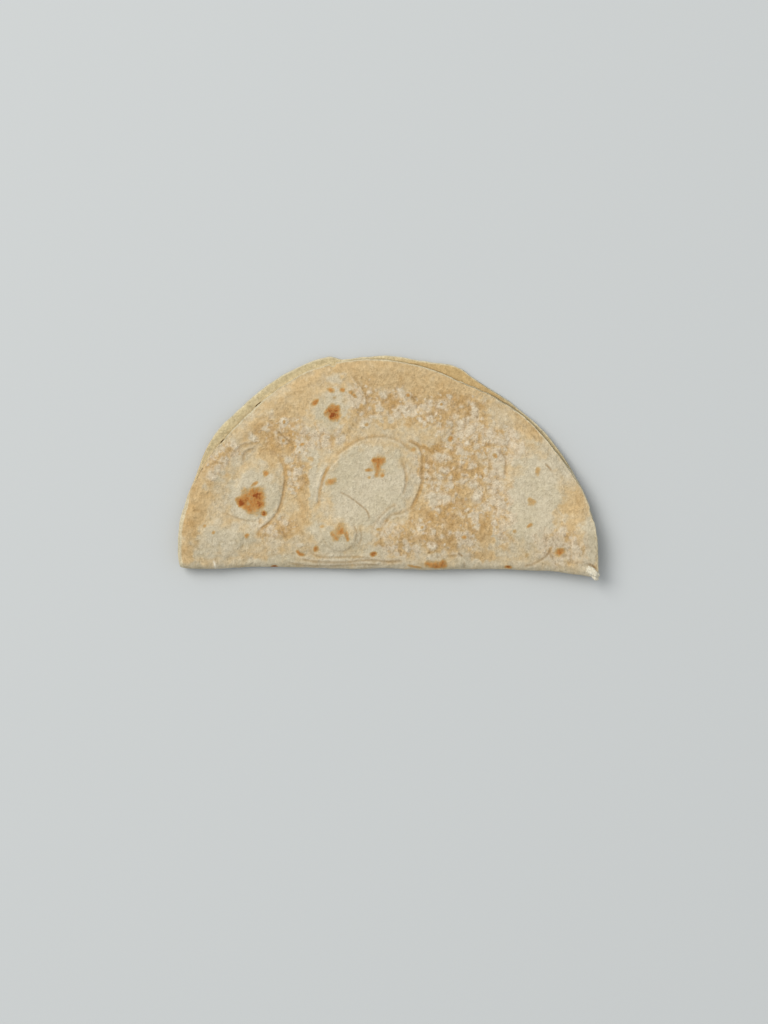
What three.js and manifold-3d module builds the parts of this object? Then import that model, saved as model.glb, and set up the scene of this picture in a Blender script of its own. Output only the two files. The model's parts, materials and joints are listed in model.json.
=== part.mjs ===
// A round wheat tortilla folded once into a half disc: an upper leaf lying on a lower leaf, joined by a
// rounded fold. It is one piece of dough, so it is one solid.
// Millimetres, +Z up. The fold runs along X at the front (-Y) and the loose rims are at the back (+Y).
// The origin is in the middle of the bounding box's underside, on the surface that the tortilla lies on.
//
// The dough starts as a thin square box, which is stretched into a disc and then folded. A point of the
// flat sheet is (u, s): u runs along the fold, and s runs across it, negative on the lower leaf and
// positive on the upper one.

import * as THREE from "three";
import { mergeVertices } from "three/addons/utils/BufferGeometryUtils.js";
import Module from "manifold-3d";

// ---- Driving dimensions -------------------------------------------------------------------------

const DISC_RADIUS = 125; // a large wrap, 250 mm across
const DOUGH = 2.3; // thickness of the dough
const RIM_DOUGH = 1.5; // its thickness at the rim
const RIM_TAPER = 7; // width of the band in which it thins
const RIM_NOSE = 0.5; // how far the middle of the cut edge stands out past its corners
const FOLD_HEIGHT = 8.8; // outer height of the rounded fold
const FOLD_SWELL = 0.7; // how much that height varies along the fold
const SETTLE = 36; // distance from the fold in which the upper leaf comes down on the lower one
const REST_GAP = 0.6; // air between the leaves where one rests on the other
const LEAF_WAVE = 0.5; // how far the upper leaf undulates above that
const PLACE = { x: 0.9, y: -56.2 }; // where the middle of the bend lies in the part's frame

// Mesh spacing over the sheet
const COLUMNS = 40; // along the fold
const COLUMN_CROWDING = 0.25; // how much closer the columns are at the fold's ends
const BEND_STEP = 1.5; // between rows over the bend
const OPEN_STEP = 6.2; // between rows on the open leaves
const STEP_GROWTH = 1.16; // from one row to the next past the bend
const BEND_ROWS = 5; // rows on each side of the fold line that keep the bend's spacing
const EDGE_SEGMENTS = 2; // through the thickness

// ---- The outline --------------------------------------------------------------------------------
// How far the rim stands out from the disc's radius, at bearings in degrees about the middle of the fold
// line, from +X. The rim runs smoothly from one to the next. The lower leaf steps out at a nick at 102 to
// 106 degrees.

const UPPER_RIM = [
  [0, 0], [12, 0.7], [32, -2.4], [52, -3.9], [68, -5.0], [80, -2.3], [92, 0.4],
  [110, 2.5], [122, 1.5], [136, -0.1], [152, 2.0], [167, 3.0], [175, 2.2], [180, 0],
];
const LOWER_RIM = [
  [0, 0], [12, 0.4], [32, -2.3], [54, -2.4], [64, -1.2], [72, 2.6], [80, 1.4], [90, 2.9], [102, 2.9],
  [106, 6.7], [120, 6.9], [132, 6.0], [144, 6.2], [155, 3.0], [168, 2.6], [180, 0],
];

// ---- How it lies --------------------------------------------------------------------------------

const RIGHT_LIFT = { from: 58, over: 68, rise: 5 }; // the right end bends up off the surface
const LEFT_LIFT = { from: 74, over: 54, rise: 3 };
const RIM_LIFT = { from: 105, over: 24, rise: 1.7, waves: 5 }; // the back rim curls up a little, unevenly

// Places where the rims part. Each begins and ends at a bearing, easing in and out over so many degrees.
const RIM_GAPS = [
  { from: 46, to: 104, easeIn: 16, easeOut: 18, gap: 1.7 },
  { from: 6, to: 48, easeIn: 12, easeOut: 16, gap: 0.8 },
  { from: 122, to: 150, easeIn: 8, easeOut: 8, gap: 0.5 },
];
const GAP_REACH = 26; // how far in from the rim they run
// The lower rim turns up between these bearings, where it stands out past the upper one.
const LOWER_CURL = { from: 98, to: 170, easeIn: 10, easeOut: 16, over: 5, rise: 1.5 };

const FOLD_SLANT = { from: 26, over: 72, out: 2.0 }; // the fold line slants towards the front on the right
const CORNER_DROOP = { from: 94, over: 29, out: 4.2 }; // and sags at its end
const DROOP_REACH = 24; // how far across the sheet both fade out

// ---- Blisters on the upper leaf, which rise where steam parted the dough ------------------------
// Each has its middle (u, s), its half widths along and across the fold, its turn in degrees and its rise.

const BLISTERS = [
  { u: -78, s: 48, halfWide: 15, halfDeep: 19, turn: -12, rise: 1.3 },
  { u: -13, s: 52, halfWide: 31, halfDeep: 27, turn: 10, rise: 1.5 },
  { u: -30, s: 20, halfWide: 13, halfDeep: 11, turn: 0, rise: 1.0 },
  { u: -33, s: 94, halfWide: 17, halfDeep: 17, turn: 20, rise: 1.0 },
  { u: 88, s: 52, halfWide: 19, halfDeep: 32, turn: 8, rise: 1.1 },
  { u: 36, s: 10, halfWide: 16, halfDeep: 9, turn: 0, rise: 0.7 },
  { u: 24, s: 86, halfWide: 15, halfDeep: 13, turn: 0, rise: 0.6 },
  { u: 58, s: 78, halfWide: 14, halfDeep: 14, turn: 0, rise: 0.6 },
  { u: -100, s: 18, halfWide: 14, halfDeep: 13, turn: 0, rise: 0.6 },
];
const BLISTER_SHOULDER = 0.45; // share of a blister's half width in which its edge comes down

// ---- The torn lip of dough on the fold's right end ----------------------------------------------

const LIP = {
  u: 120.8, // its middle, along the fold
  back: 4.2, // behind the fold's front edge
  down: 1.7, // below the fold's top
  halfWide: 2.1,
  halfLong: 4.7,
  halfHigh: 2.2,
  turn: 39, // degrees about Z
  lumps: 0.12, // unevenness, as a share of its size
};

// ---- Small helpers ------------------------------------------------------------------------------

const radians = THREE.MathUtils.degToRad;
const { clamp, lerp } = THREE.MathUtils;

/** 0 below 0, 1 above 1, and smooth in between. */
function ease(t) {
  const k = clamp(t, 0, 1);
  return k * k * (3 - 2 * k);
}

/** 1 between two bearings, 0 outside them, and smooth in between. */
function between(angle, { from, to, easeIn, easeOut }) {
  return ease((angle - from) / easeIn) * ease((to - angle) / easeOut);
}

/** The value at a place on a smooth curve through pairs of place and value, level at both ends. */
function curveThrough(knots, place) {
  const last = knots.length - 1;
  let next = 1;
  while (next < last && knots[next][0] < place) next += 1;
  const slope = (i) =>
    i === 0 || i === last ? 0 : (knots[i + 1][1] - knots[i - 1][1]) / (knots[i + 1][0] - knots[i - 1][0]);
  const [start, low] = knots[next - 1];
  const [end, high] = knots[next];
  const t = (place - start) / (end - start);
  const bow = (end - start) * t * (1 - t);
  return lerp(low, high, ease(t)) + bow * ((1 - t) * slope(next - 1) - t * slope(next));
}

// ---- The flat sheet -----------------------------------------------------------------------------

/** The bearing of a sheet point about the middle of the fold line, in degrees from 0 to 180 on either leaf. */
function bearing(u, s) {
  return THREE.MathUtils.radToDeg(Math.atan2(Math.abs(s), u));
}

/** The rim's distance from the middle of the fold line at a bearing. */
function rimRadius(angle, isUpper) {
  return DISC_RADIUS + curveThrough(isUpper ? UPPER_RIM : LOWER_RIM, angle);
}

/** Distances of the sheet's rows from the fold line, as shares of the radius: close over the bend. */
function rowStations() {
  const stations = [0];
  let step = BEND_STEP;
  while (stations.at(-1) < DISC_RADIUS) {
    stations.push(stations.at(-1) + step);
    if (stations.length > BEND_ROWS) step = Math.min(OPEN_STEP, step * STEP_GROWTH);
  }
  const last = stations.at(-1);
  return stations.map((distance) => distance / last);
}

/** A point (a, b) of the square from -1 to 1, stretched to the tortilla's outline: { u, s, toRim }. */
function stretched(a, b) {
  // Ellipses: the rows near the fold stay almost straight, and no row ends in a point.
  const x = a * Math.sqrt(1 - (b * b) / 2);
  const y = b * Math.sqrt(1 - (a * a) / 2);
  const share = Math.hypot(x, y);
  const rim = rimRadius(bearing(x, y), y > 0);
  const scale = lerp(DISC_RADIUS, rim, share * share);
  return { u: x * scale, s: y * scale, toRim: (1 - share) * rim };
}

// ---- The folded form ----------------------------------------------------------------------------

/** Outer height of the fold at a place along it. */
function foldHeight(u) {
  return FOLD_HEIGHT + FOLD_SWELL * Math.sin(u / 21 + 0.8) * Math.cos(u / 47);
}

/** How far the tortilla's ends and back rim are off the surface, alike for both leaves. */
function liftAt(u, s) {
  const wave = 0.6 + 0.4 * Math.sin(RIM_LIFT.waves * radians(bearing(u, s)) + 0.6);
  const atRim = ease((Math.hypot(u, s) - RIM_LIFT.from) / RIM_LIFT.over) * ease(Math.abs(s) / RIM_LIFT.over);
  return (
    RIGHT_LIFT.rise * ease((u - RIGHT_LIFT.from) / RIGHT_LIFT.over) +
    LEFT_LIFT.rise * ease((-u - LEFT_LIFT.from) / LEFT_LIFT.over) +
    RIM_LIFT.rise * wave * atRim
  );
}

/** How far the lower leaf's rim turns up where it stands out past the upper leaf's. */
function lowerCurlAt(u, s) {
  const angle = bearing(u, s);
  const past = Math.hypot(u, s) - rimRadius(angle, true);
  return LOWER_CURL.rise * between(angle, LOWER_CURL) * ease(past / LOWER_CURL.over);
}

/** Air between the leaves, clear of the fold. */
function gapAt({ u, s, toRim }) {
  const wave = 0.5 + 0.5 * Math.sin(u / 17 + 0.5) * Math.sin(s / 21 + 1.1);
  const nearRim = ease(1 - toRim / GAP_REACH);
  return RIM_GAPS.reduce(
    (sum, part) => sum + nearRim * part.gap * between(bearing(u, s), part),
    REST_GAP + LEAF_WAVE * wave,
  );
}

/** How far the fold is pushed towards the front. */
function droopAt(u, s) {
  const end = clamp((u - CORNER_DROOP.from) / CORNER_DROOP.over, 0, 1);
  const out = FOLD_SLANT.out * ease((u - FOLD_SLANT.from) / FOLD_SLANT.over) + CORNER_DROOP.out * end * end;
  return out * (1 - ease(Math.abs(s) / DROOP_REACH));
}

/** Height of the blisters above the upper leaf's plain face. */
function blistersAt(u, s) {
  return BLISTERS.reduce((highest, blister) => {
    const cos = Math.cos(radians(blister.turn));
    const sin = Math.sin(radians(blister.turn));
    const along = ((u - blister.u) * cos + (s - blister.s) * sin) / blister.halfWide;
    const across = ((s - blister.s) * cos - (u - blister.u) * sin) / blister.halfDeep;
    const inside = 1 - Math.hypot(along, across);
    return Math.max(highest, blister.rise * ease(inside / BLISTER_SHOULDER));
  }, 0);
}

/** The folded place of a sheet point. side is 1 on the outer face, -1 on the inner face and 0 half-way. */
function folded(point, side) {
  const { u, s, toRim } = point;
  const onDough = ease(toRim / RIM_TAPER); // 0 at the rim, 1 where the dough has its full thickness
  const thickness = lerp(RIM_DOUGH, DOUGH, onDough);
  const blister = side > 0 ? blistersAt(u, s) * onDough : 0;
  const out = (side * thickness) / 2 + blister; // from the middle of the dough
  const bend = (foldHeight(u) - DOUGH) / 2; // radius of the bend at the middle of the dough
  const middle = thickness / 2 + bend; // height of the bend's centre
  const depth = Math.abs(s) - (Math.PI / 2) * bend; // back from the bend
  let y = depth;
  let z;
  if (depth <= 0) {
    y = -(bend + out) * Math.cos(s / bend);
    z = middle + (bend + out) * Math.sin(s / bend);
  } else if (s < 0) {
    z = thickness / 2 - out + lowerCurlAt(u, s);
  } else {
    z = lerp(middle + bend, 1.5 * thickness + gapAt(point), ease(depth / SETTLE)) + out;
  }
  return new THREE.Vector3(u + PLACE.x, y - droopAt(u, s) + PLACE.y, z + liftAt(u, s));
}

/** The folded sheet of dough, as a closed geometry. */
function doughGeometry() {
  const stations = rowStations();
  const halfRows = stations.length - 1;
  const geometry = new THREE.BoxGeometry(2, 2, 2, COLUMNS, 2 * halfRows, EDGE_SEGMENTS);
  const position = geometry.getAttribute("position");
  for (let i = 0; i < position.count; i++) {
    const column = position.getX(i);
    const row = Math.round(position.getY(i) * halfRows);
    const side = position.getZ(i);
    const a = column * (1 + COLUMN_CROWDING * (1 - column * column));
    const b = Math.sign(row) * stations[Math.abs(row)];
    const point = stretched(a, b);
    if (point.toRim < 1e-6 && side !== 0) {
      const corner = 1 - RIM_NOSE / DISC_RADIUS;
      point.u *= corner;
      point.s *= corner;
    }
    const place = folded(point, side);
    position.setXYZ(i, place.x, place.y, place.z);
  }
  return geometry;
}

/** The lumpy lip of torn dough on the fold's right end. */
function lipGeometry() {
  const geometry = new THREE.SphereGeometry(1, 14, 10);
  const position = geometry.getAttribute("position");
  const point = new THREE.Vector3();
  for (let i = 0; i < position.count; i++) {
    point.fromBufferAttribute(position, i);
    const lump = 1 + LIP.lumps * Math.sin(4 * point.x + 1) * Math.cos(5 * point.y) * Math.cos(3 * point.z);
    position.setXYZ(i, point.x * lump, point.y * lump, point.z * lump);
  }
  const front = PLACE.y - foldHeight(LIP.u) / 2 - droopAt(LIP.u, 0);
  const top = foldHeight(LIP.u) + liftAt(LIP.u, 0);
  return geometry
    .scale(LIP.halfWide, LIP.halfLong, LIP.halfHigh)
    .rotateZ(radians(LIP.turn))
    .translate(LIP.u + PLACE.x, front + LIP.back, top - LIP.down);
}

// ---- Joining into one solid ---------------------------------------------------------------------

const wasm = await Module();
wasm.setup();

/** A closed three.js geometry as a solid. */
function solidOf(geometry) {
  geometry.deleteAttribute("normal");
  geometry.deleteAttribute("uv");
  const merged = mergeVertices(geometry, 1e-3);
  return new wasm.Manifold(
    new wasm.Mesh({
      numProp: 3,
      vertProperties: merged.attributes.position.array,
      triVerts: new Uint32Array(merged.index.array),
    }),
  );
}

/** A solid as a three.js geometry. */
function geometryOf(solid) {
  const { vertProperties, triVerts } = solid.getMesh();
  const geometry = new THREE.BufferGeometry();
  geometry.setAttribute("position", new THREE.BufferAttribute(vertProperties, 3));
  geometry.setIndex(new THREE.BufferAttribute(triVerts, 1));
  geometry.computeVertexNormals();
  return geometry;
}

const bakedDough = new THREE.MeshStandardMaterial({
  color: new THREE.Color(0xc9b28a), // pale toasted dough
  roughness: 0.85,
  metalness: 0,
});

const tortilla = new THREE.Mesh(geometryOf(solidOf(doughGeometry()).add(solidOf(lipGeometry()))), bakedDough);
tortilla.name = "tortilla";

const foldedTortilla = new THREE.Group();
foldedTortilla.add(tortilla);

export default foldedTortilla;
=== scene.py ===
"""A whole wheat tortilla folded once into a half disc, dressed for its render.

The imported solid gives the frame. One finer sheet of dough stands for it here: a grid that is given its
thickness, stretched into a disc and folded, with the same form as the solid and with the low relief, the creases
and the baked colours that the solid leaves out.

Lengths are millimetres on the flat sheet until the last step, which makes them metres. A point of the flat sheet
is (u, s): u runs along the fold, and s across it, negative on the lower leaf and positive on the upper one.
"""

from __future__ import annotations

import json
import logging
import math
from dataclasses import dataclass, field
from enum import Enum, IntEnum
from typing import Any, Callable, Sequence

import bmesh
import bpy
import numpy as np
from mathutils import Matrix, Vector

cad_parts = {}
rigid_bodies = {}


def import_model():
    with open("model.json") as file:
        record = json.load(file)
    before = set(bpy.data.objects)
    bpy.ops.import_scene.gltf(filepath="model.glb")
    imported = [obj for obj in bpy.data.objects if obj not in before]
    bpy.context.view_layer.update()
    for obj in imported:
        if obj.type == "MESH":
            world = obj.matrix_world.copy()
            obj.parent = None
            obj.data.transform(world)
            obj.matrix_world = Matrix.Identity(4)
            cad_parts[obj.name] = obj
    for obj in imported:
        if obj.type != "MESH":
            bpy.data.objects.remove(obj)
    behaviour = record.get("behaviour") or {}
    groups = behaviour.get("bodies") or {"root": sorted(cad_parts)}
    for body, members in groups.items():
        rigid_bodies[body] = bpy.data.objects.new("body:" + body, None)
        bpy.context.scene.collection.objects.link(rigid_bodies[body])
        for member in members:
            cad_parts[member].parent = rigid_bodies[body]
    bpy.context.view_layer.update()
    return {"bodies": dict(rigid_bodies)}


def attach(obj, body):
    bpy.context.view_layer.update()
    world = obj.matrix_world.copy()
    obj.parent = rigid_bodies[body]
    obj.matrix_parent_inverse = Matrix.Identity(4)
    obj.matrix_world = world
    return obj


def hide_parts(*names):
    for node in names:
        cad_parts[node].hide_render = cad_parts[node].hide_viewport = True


LOG = logging.getLogger("tortilla")

Field = np.ndarray
Colour = tuple[float, float, float, float]
Knots = tuple[tuple[float, float], ...]

MM = 0.001
SHEET_MAP = "sheet"  # the UV map that holds (u, s)


# ---- Small helpers ----


def ease(t: Field | float) -> Field:
    """0 below 0, 1 above 1, and smooth in between."""
    k = np.clip(t, 0.0, 1.0)
    return k * k * (3.0 - 2.0 * k)


def lerp(low: Field | float, high: Field | float, t: Field | float) -> Field:
    """The value a share t of the way from low to high."""
    return low + (high - low) * t


def curve_through(knots: Knots, place: Field) -> Field:
    """The values at places on a smooth curve through pairs of place and value, level at both ends.

    Args:
        knots: Pairs of place and value, in rising order.
        place: Where to read the curve.

    Returns:
        One value for each place.
    """
    at, value = np.array(knots, float).T
    slope = np.zeros(len(at))
    slope[1:-1] = (value[2:] - value[:-2]) / (at[2:] - at[:-2])
    after = np.clip(np.searchsorted(at, place), 1, len(at) - 1)
    before = after - 1
    wide = at[after] - at[before]
    t = (place - at[before]) / wide
    bow = wide * t * (1.0 - t)
    return lerp(value[before], value[after], ease(t)) + bow * ((1.0 - t) * slope[before] - t * slope[after])


def on_disc(a: Field | float, b: Field | float) -> tuple[Field, Field]:
    """Points of the square from -1 to 1, moved into the disc of radius 1."""
    return a * np.sqrt(1.0 - b * b / 2.0), b * np.sqrt(1.0 - a * a / 2.0)


def turned(x: Field, y: Field, degrees: float) -> tuple[Field, Field]:
    """Points turned about the origin, against the clock."""
    cos, sin = math.cos(math.radians(degrees)), math.sin(math.radians(degrees))
    return x * cos - y * sin, x * sin + y * cos


def tint(red: float, green: float, blue: float) -> Colour:
    """A colour picked on a screen, in steps of 0 to 255, as the linear light that a shader takes."""
    parts = (c / 255.0 for c in (red, green, blue))
    return (*(c / 12.92 if c <= 0.04045 else ((c + 0.055) / 1.055) ** 2.4 for c in parts), 1.0)


def placed(name: str, data: bpy.types.ID) -> bpy.types.Object:
    """A new object in the scene."""
    thing = bpy.data.objects.new(name, data)
    bpy.context.scene.collection.objects.link(thing)
    return thing


@dataclass(frozen=True)
class Span:
    """Bearings between which something happens, easing in and out over so many degrees."""

    start: float
    end: float
    ease_in: float
    ease_out: float

    def at(self, angle: Field) -> Field:
        """1 between the two bearings, 0 outside them, and smooth in between."""
        return ease((angle - self.start) / self.ease_in) * ease((self.end - angle) / self.ease_out)


class Draw(IntEnum):
    """The seed of each random draw."""

    TONE_BELOW = 20
    SMALL_BUBBLES = 21
    SPOTS_BELOW = 22
    ROLLING = 23
    LUMPS = 24
    RIM = 25
    PLEATS = 26
    RAGGED_U = 27
    RAGGED_S = 28
    MOTTLE_BELOW = 29
    LIP = 31


@dataclass
class LatticeNoise:
    """Smooth seeded unevenness over the sheet, from -1 to 1.

    Attributes:
        seed: What makes one noise differ from another.
        cells: How many cells it has before it repeats.
    """

    seed: int
    cells: int = 97
    heights: Field = field(init=False)

    def __post_init__(self) -> None:
        """Draws the heights at the lattice points."""
        self.heights = np.random.default_rng(self.seed).uniform(-1.0, 1.0, (self.cells, self.cells))

    def at(self, x: Field, y: Field, size: float) -> Field:
        """The noise at points, with features of a given size.

        Args:
            x: First coordinates, in millimetres.
            y: Second coordinates, in millimetres.
            size: Distance between neighbouring lattice points, in millimetres.

        Returns:
            One height for each point.
        """
        # Turned, so that its rows run slantwise over the sheet, and moved so that no place is negative.
        across, along = (0.8 * x + 0.6 * y) / size + 500.3, (0.8 * y - 0.6 * x) / size + 500.7
        col, row = np.floor(across).astype(int), np.floor(along).astype(int)
        right, up = ease(across - col), ease(along - row)

        def corner(i: int, j: int) -> Field:
            """The heights at one corner of the points' cells."""
            return self.heights[(col + i) % self.cells, (row + j) % self.cells]

        return lerp(lerp(corner(0, 0), corner(1, 0), right), lerp(corner(0, 1), corner(1, 1), right), up)

    def layered(self, x: Field, y: Field, size: float, layers: int = 3) -> Field:
        """Several sizes of the noise on each other, each half as large and half as high as the last."""
        return sum(self.at(x + 31.0 * n, y - 17.0 * n, size / 2**n) / 2**n for n in range(layers)) / 1.5


# ---- The form of the sheet ----


class Leaf(Enum):
    """The two halves of the folded sheet."""

    LOWER = -1
    UPPER = 1


@dataclass(frozen=True)
class Blister:
    """A broad blister of the upper leaf: its middle, its half widths, its turn in degrees and its rise."""

    u: float
    s: float
    half_wide: float
    half_deep: float
    turn: float
    rise: float

    def height(self, u: Field, s: Field, shoulder: float) -> Field:
        """Its height over the sheet, where its edge comes down in a share of its half width, the shoulder."""
        along, across = turned(u - self.u, s - self.s, -self.turn)
        return self.rise * ease((1.0 - np.hypot(along / self.half_wide, across / self.half_deep)) / shoulder)


@dataclass(frozen=True)
class SheetForm:
    """The folded sheet's sizes in millimetres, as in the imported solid, and where they put each point of the dough.

    Rims are given by bearing, as how far they are outside the round; the fold's front, by place along it, as how far
    it is pushed to the front.
    """

    disc_radius: float = 125.0
    dough: float = 2.3
    rim_dough: float = 1.5
    rim_taper: float = 7.0
    rim_nose: float = 0.5
    fold_height: float = 8.8
    fold_swell: float = 0.7
    settle: float = 36.0
    rest_gap: float = 0.6
    leaf_wave: float = 0.5
    place_x: float = 0.9
    place_y: float = -56.2
    upper_rim: Knots = (
        (0, 0), (12, 0.7), (20, 0.1), (28.5, -1.7), (36, -3.3), (46, -3.2), (52, -3.8), (68, -5.0), (80, -2.3),
        (92, 0.4), (110, 2.5), (122, 1.5), (136, -0.1), (152, 2.0), (167, 3.0), (173, 1.9), (177, 1.0), (180, 0),
    )  # fmt: skip
    lower_rim: Knots = (
        (0, 0), (12, 0.4), (31, -0.8), (40, -1.0), (54, -1.8), (64, -0.9), (72, 2.6), (80, 1.4), (90, 2.9), (102, 2.9),
        (106, 6.7), (120, 6.9), (132, 6.0), (144, 6.2), (155, 3.0), (168, 2.6), (180, 0),
    )  # fmt: skip
    rim_gaps: tuple[tuple[Span, float], ...] = (
        (Span(46, 104, 16, 18), 1.7),
        (Span(6, 48, 12, 16), 0.8),
        (Span(122, 150, 8, 8), 0.5),
    )
    gap_reach: float = 26.0
    end_lifts: tuple[float, float, float] = (5.0, 3.0, 1.7)  # right end, left end and back rim
    fold_reach: float = 24.0
    right_push: tuple[float, float] = (2.0, 4.2)  # of the right half, and more at its end
    front_wave: Knots = (
        (-131, 0), (-119, 0.8), (-107, 0.9), (-95, 0.4), (-83, -0.2), (-71, -0.5), (-59, 0), (-47, 0.4), (-35, 0.5),
        (-23, 1.1), (-11, 0.6), (1, 0.3), (13, 0.7), (25, 1.3), (37, 1.0), (49, 0.4), (61, 0), (85, -0.3), (97, 0.1),
        (109, 0.6), (121, 0.2), (131, 0),
    )  # fmt: skip
    lower_curl: Span = Span(98, 170, 10, 16)
    lower_curl_rise: float = 1.5
    blisters: tuple[Blister, ...] = (
        Blister(-78, 48, 15, 19, -12, 1.1),
        Blister(-13, 52, 31, 27, 10, 1.5),
        Blister(-30, 20, 13, 11, 0, 1.0),
        Blister(-33, 94, 17, 17, 20, 1.0),
        Blister(88, 52, 19, 32, 8, 1.1),
        Blister(36, 10, 16, 9, 0, 0.7),
        Blister(24, 86, 15, 13, 0, 0.6),
        Blister(58, 78, 14, 14, 0, 0.6),
        Blister(-100, 18, 14, 13, 0, 0.6),
    )
    blister_shoulder: float = 0.3  # sharper than in the solid

    def bearing(self, u: Field, s: Field) -> Field:
        """Bearings of sheet points about the middle of the fold line, from 0 to 180 degrees on either leaf."""
        return np.degrees(np.arctan2(np.abs(s), u))

    def rim_radius(self, angle: Field, leaf: Leaf) -> Field:
        """The rim's distance from the middle of the fold line at bearings."""
        return self.disc_radius + curve_through(self.upper_rim if leaf is Leaf.UPPER else self.lower_rim, angle)

    def stretched(self, a: Field, b: Field) -> tuple[Field, Field, Field]:
        """Points of the square from -1 to 1, stretched to the tortilla's outline.

        Args:
            a: Places along the fold, from -1 to 1.
            b: Places across it, from -1 to 1.

        Returns:
            u, s and the distance to the rim.
        """
        x, y = on_disc(a, b)
        share = np.hypot(x, y)
        angle = self.bearing(x, y)
        rim = np.where(y > 0, self.rim_radius(angle, Leaf.UPPER), self.rim_radius(angle, Leaf.LOWER))
        scale = lerp(self.disc_radius, rim, share * share)
        return x * scale, y * scale, (1.0 - share) * rim

    def height_of_fold(self, u: Field) -> Field:
        """Outer height of the rounded fold at places along it."""
        return self.fold_height + self.fold_swell * np.sin(u / 21.0 + 0.8) * np.cos(u / 47.0)

    def lift(self, u: Field, s: Field) -> Field:
        """How far the ends and the back rim are off the surface, alike for both leaves."""
        right, left, back = self.end_lifts
        wave = 0.6 + 0.4 * np.sin(5.0 * np.radians(self.bearing(u, s)) + 0.6)
        at_rim = ease((np.hypot(u, s) - 105.0) / 24.0) * ease(np.abs(s) / self.fold_reach)
        return right * ease((u - 58.0) / 68.0) + left * ease((-u - 74.0) / 54.0) + back * wave * at_rim

    def curl(self, u: Field, s: Field) -> Field:
        """How far the lower rim turns up where it stands out past the upper one."""
        angle = self.bearing(u, s)
        past = np.hypot(u, s) - self.rim_radius(angle, Leaf.UPPER)
        return self.lower_curl_rise * self.lower_curl.at(angle) * ease(past / 5.0)

    def gap(self, u: Field, s: Field, to_rim: Field) -> Field:
        """Air between the leaves, clear of the fold."""
        wave = 0.5 + 0.5 * np.sin(u / 17.0 + 0.5) * np.sin(s / 21.0 + 1.1)
        near_rim = ease(1.0 - to_rim / self.gap_reach)
        angle = self.bearing(u, s)
        parted = sum(near_rim * gap * span.at(angle) for span, gap in self.rim_gaps)
        return self.rest_gap + self.leaf_wave * wave + parted

    def droop(self, u: Field, s: Field) -> Field:
        """How far the fold is pushed towards the front."""
        half_push, end_push = self.right_push
        end = np.clip((u - 94.0) / 29.0, 0.0, 1.0)
        push = half_push * ease((u - 26.0) / 72.0) + end_push * end * end + curve_through(self.front_wave, u)
        return push * (1.0 - ease(np.abs(s) / self.fold_reach))

    def swell(self, u: Field, s: Field) -> Field:
        """Height of the broad blisters above the upper leaf's plain face."""
        return np.max([b.height(u, s, self.blister_shoulder) for b in self.blisters], axis=0).clip(0.0)

    def folded(self, u: Field, s: Field, to_rim: Field, side: Field, relief: Field) -> Field:
        """The folded places of sheet points.

        Args:
            u: Places along the fold.
            s: Places across it.
            to_rim: Distances to the rim.
            side: 1 on the outer face, -1 on the inner face, and in between on the rim.
            relief: Low relief on the outer face, in millimetres.

        Returns:
            An array of x, y and z in millimetres, one row for each point.
        """
        on_dough = ease(to_rim / self.rim_taper)
        thickness = lerp(self.rim_dough, self.dough, on_dough)
        out = side * thickness / 2.0 + np.where(side > 0, self.swell(u, s) * on_dough + relief, 0.0)
        bend = (self.height_of_fold(u) - self.dough) / 2.0
        middle = thickness / 2.0 + bend
        depth = np.abs(s) - (math.pi / 2.0) * bend
        upper = lerp(middle + bend, 1.5 * thickness + self.gap(u, s, to_rim), ease(depth / self.settle)) + out
        lower = thickness / 2.0 - out + self.curl(u, s)
        on_bend = depth <= 0
        y = np.where(on_bend, -(bend + out) * np.cos(s / bend), depth)
        z = np.where(on_bend, middle + (bend + out) * np.sin(s / bend), np.where(s < 0, lower, upper))
        return np.stack([u + self.place_x, y - self.droop(u, s) + self.place_y, z + self.lift(u, s)], axis=1)

    def under(self, x: Field, y: Field) -> tuple[Field, Field]:
        """The points of the upper leaf and the fold that lie under places seen from straight above.

        Args:
            x: Places along the fold, in the part's frame.
            y: Places from front to back.

        Returns:
            u and s of those points.
        """
        u = np.asarray(x, float) - self.place_x
        bend = (self.height_of_fold(u) - self.dough) / 2.0
        outer = bend + self.dough / 2.0
        s = np.zeros_like(u)
        for _ in range(8):
            back = y - self.place_y + self.droop(u, s)
            on_bend = bend * np.arccos(np.clip(-back / outer, 0.0, 1.0))
            s = np.where(back > 0, back + (math.pi / 2.0) * bend, on_bend)
        return u, s


@dataclass(frozen=True)
class TornLip:
    """The lumpy lip of torn dough on the fold's right end.

    Attributes:
        u: Its middle, along the fold.
        back: How far its middle is behind the fold's front edge.
        down: How far it is below the fold's top.
        half: Its half sizes before its turn.
        turn: Its turn about the upright, in degrees.
        lumps: Its broad unevenness, as a share of its size.
        crumbs: Its fine unevenness, as a share of its size.
        fineness: How often its ball is divided.
    """

    u: float = 121.3
    back: float = 3.2
    down: float = 1.4
    half: tuple[float, float, float] = (2.5, 5.0, 2.6)
    turn: float = 39.0
    lumps: float = 0.12
    crumbs: float = 0.3
    fineness: int = 5

    def shaped(self, form: SheetForm, ball: Field) -> Field:
        """The places of the lip's points.

        Args:
            form: The sheet's form, which it sits on.
            ball: Points of a ball of radius 1, one row for each.

        Returns:
            Their x, y and z in millimetres.
        """
        x, y, z = ball.T
        lump = self.lumps * np.sin(4 * x + 1) * np.cos(5 * y) * np.cos(3 * z)
        crumb = self.crumbs * LatticeNoise(Draw.LIP).layered(2.2 * x + 1.7 * z, 3.6 * y - 1.3 * z, 1.1, 3)
        x, y, z = (ball * (1.0 + lump + crumb)[:, None] * np.array(self.half)).T
        x, y = turned(x, y, self.turn)
        u = np.array([self.u])
        front = form.place_y - form.height_of_fold(u) / 2.0 - form.droop(u, 0.0 * u)
        top = form.height_of_fold(u) + form.lift(u, 0.0 * u)
        return np.stack([x + self.u + form.place_x, y + front + self.back, z + top - self.down], axis=1)


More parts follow.
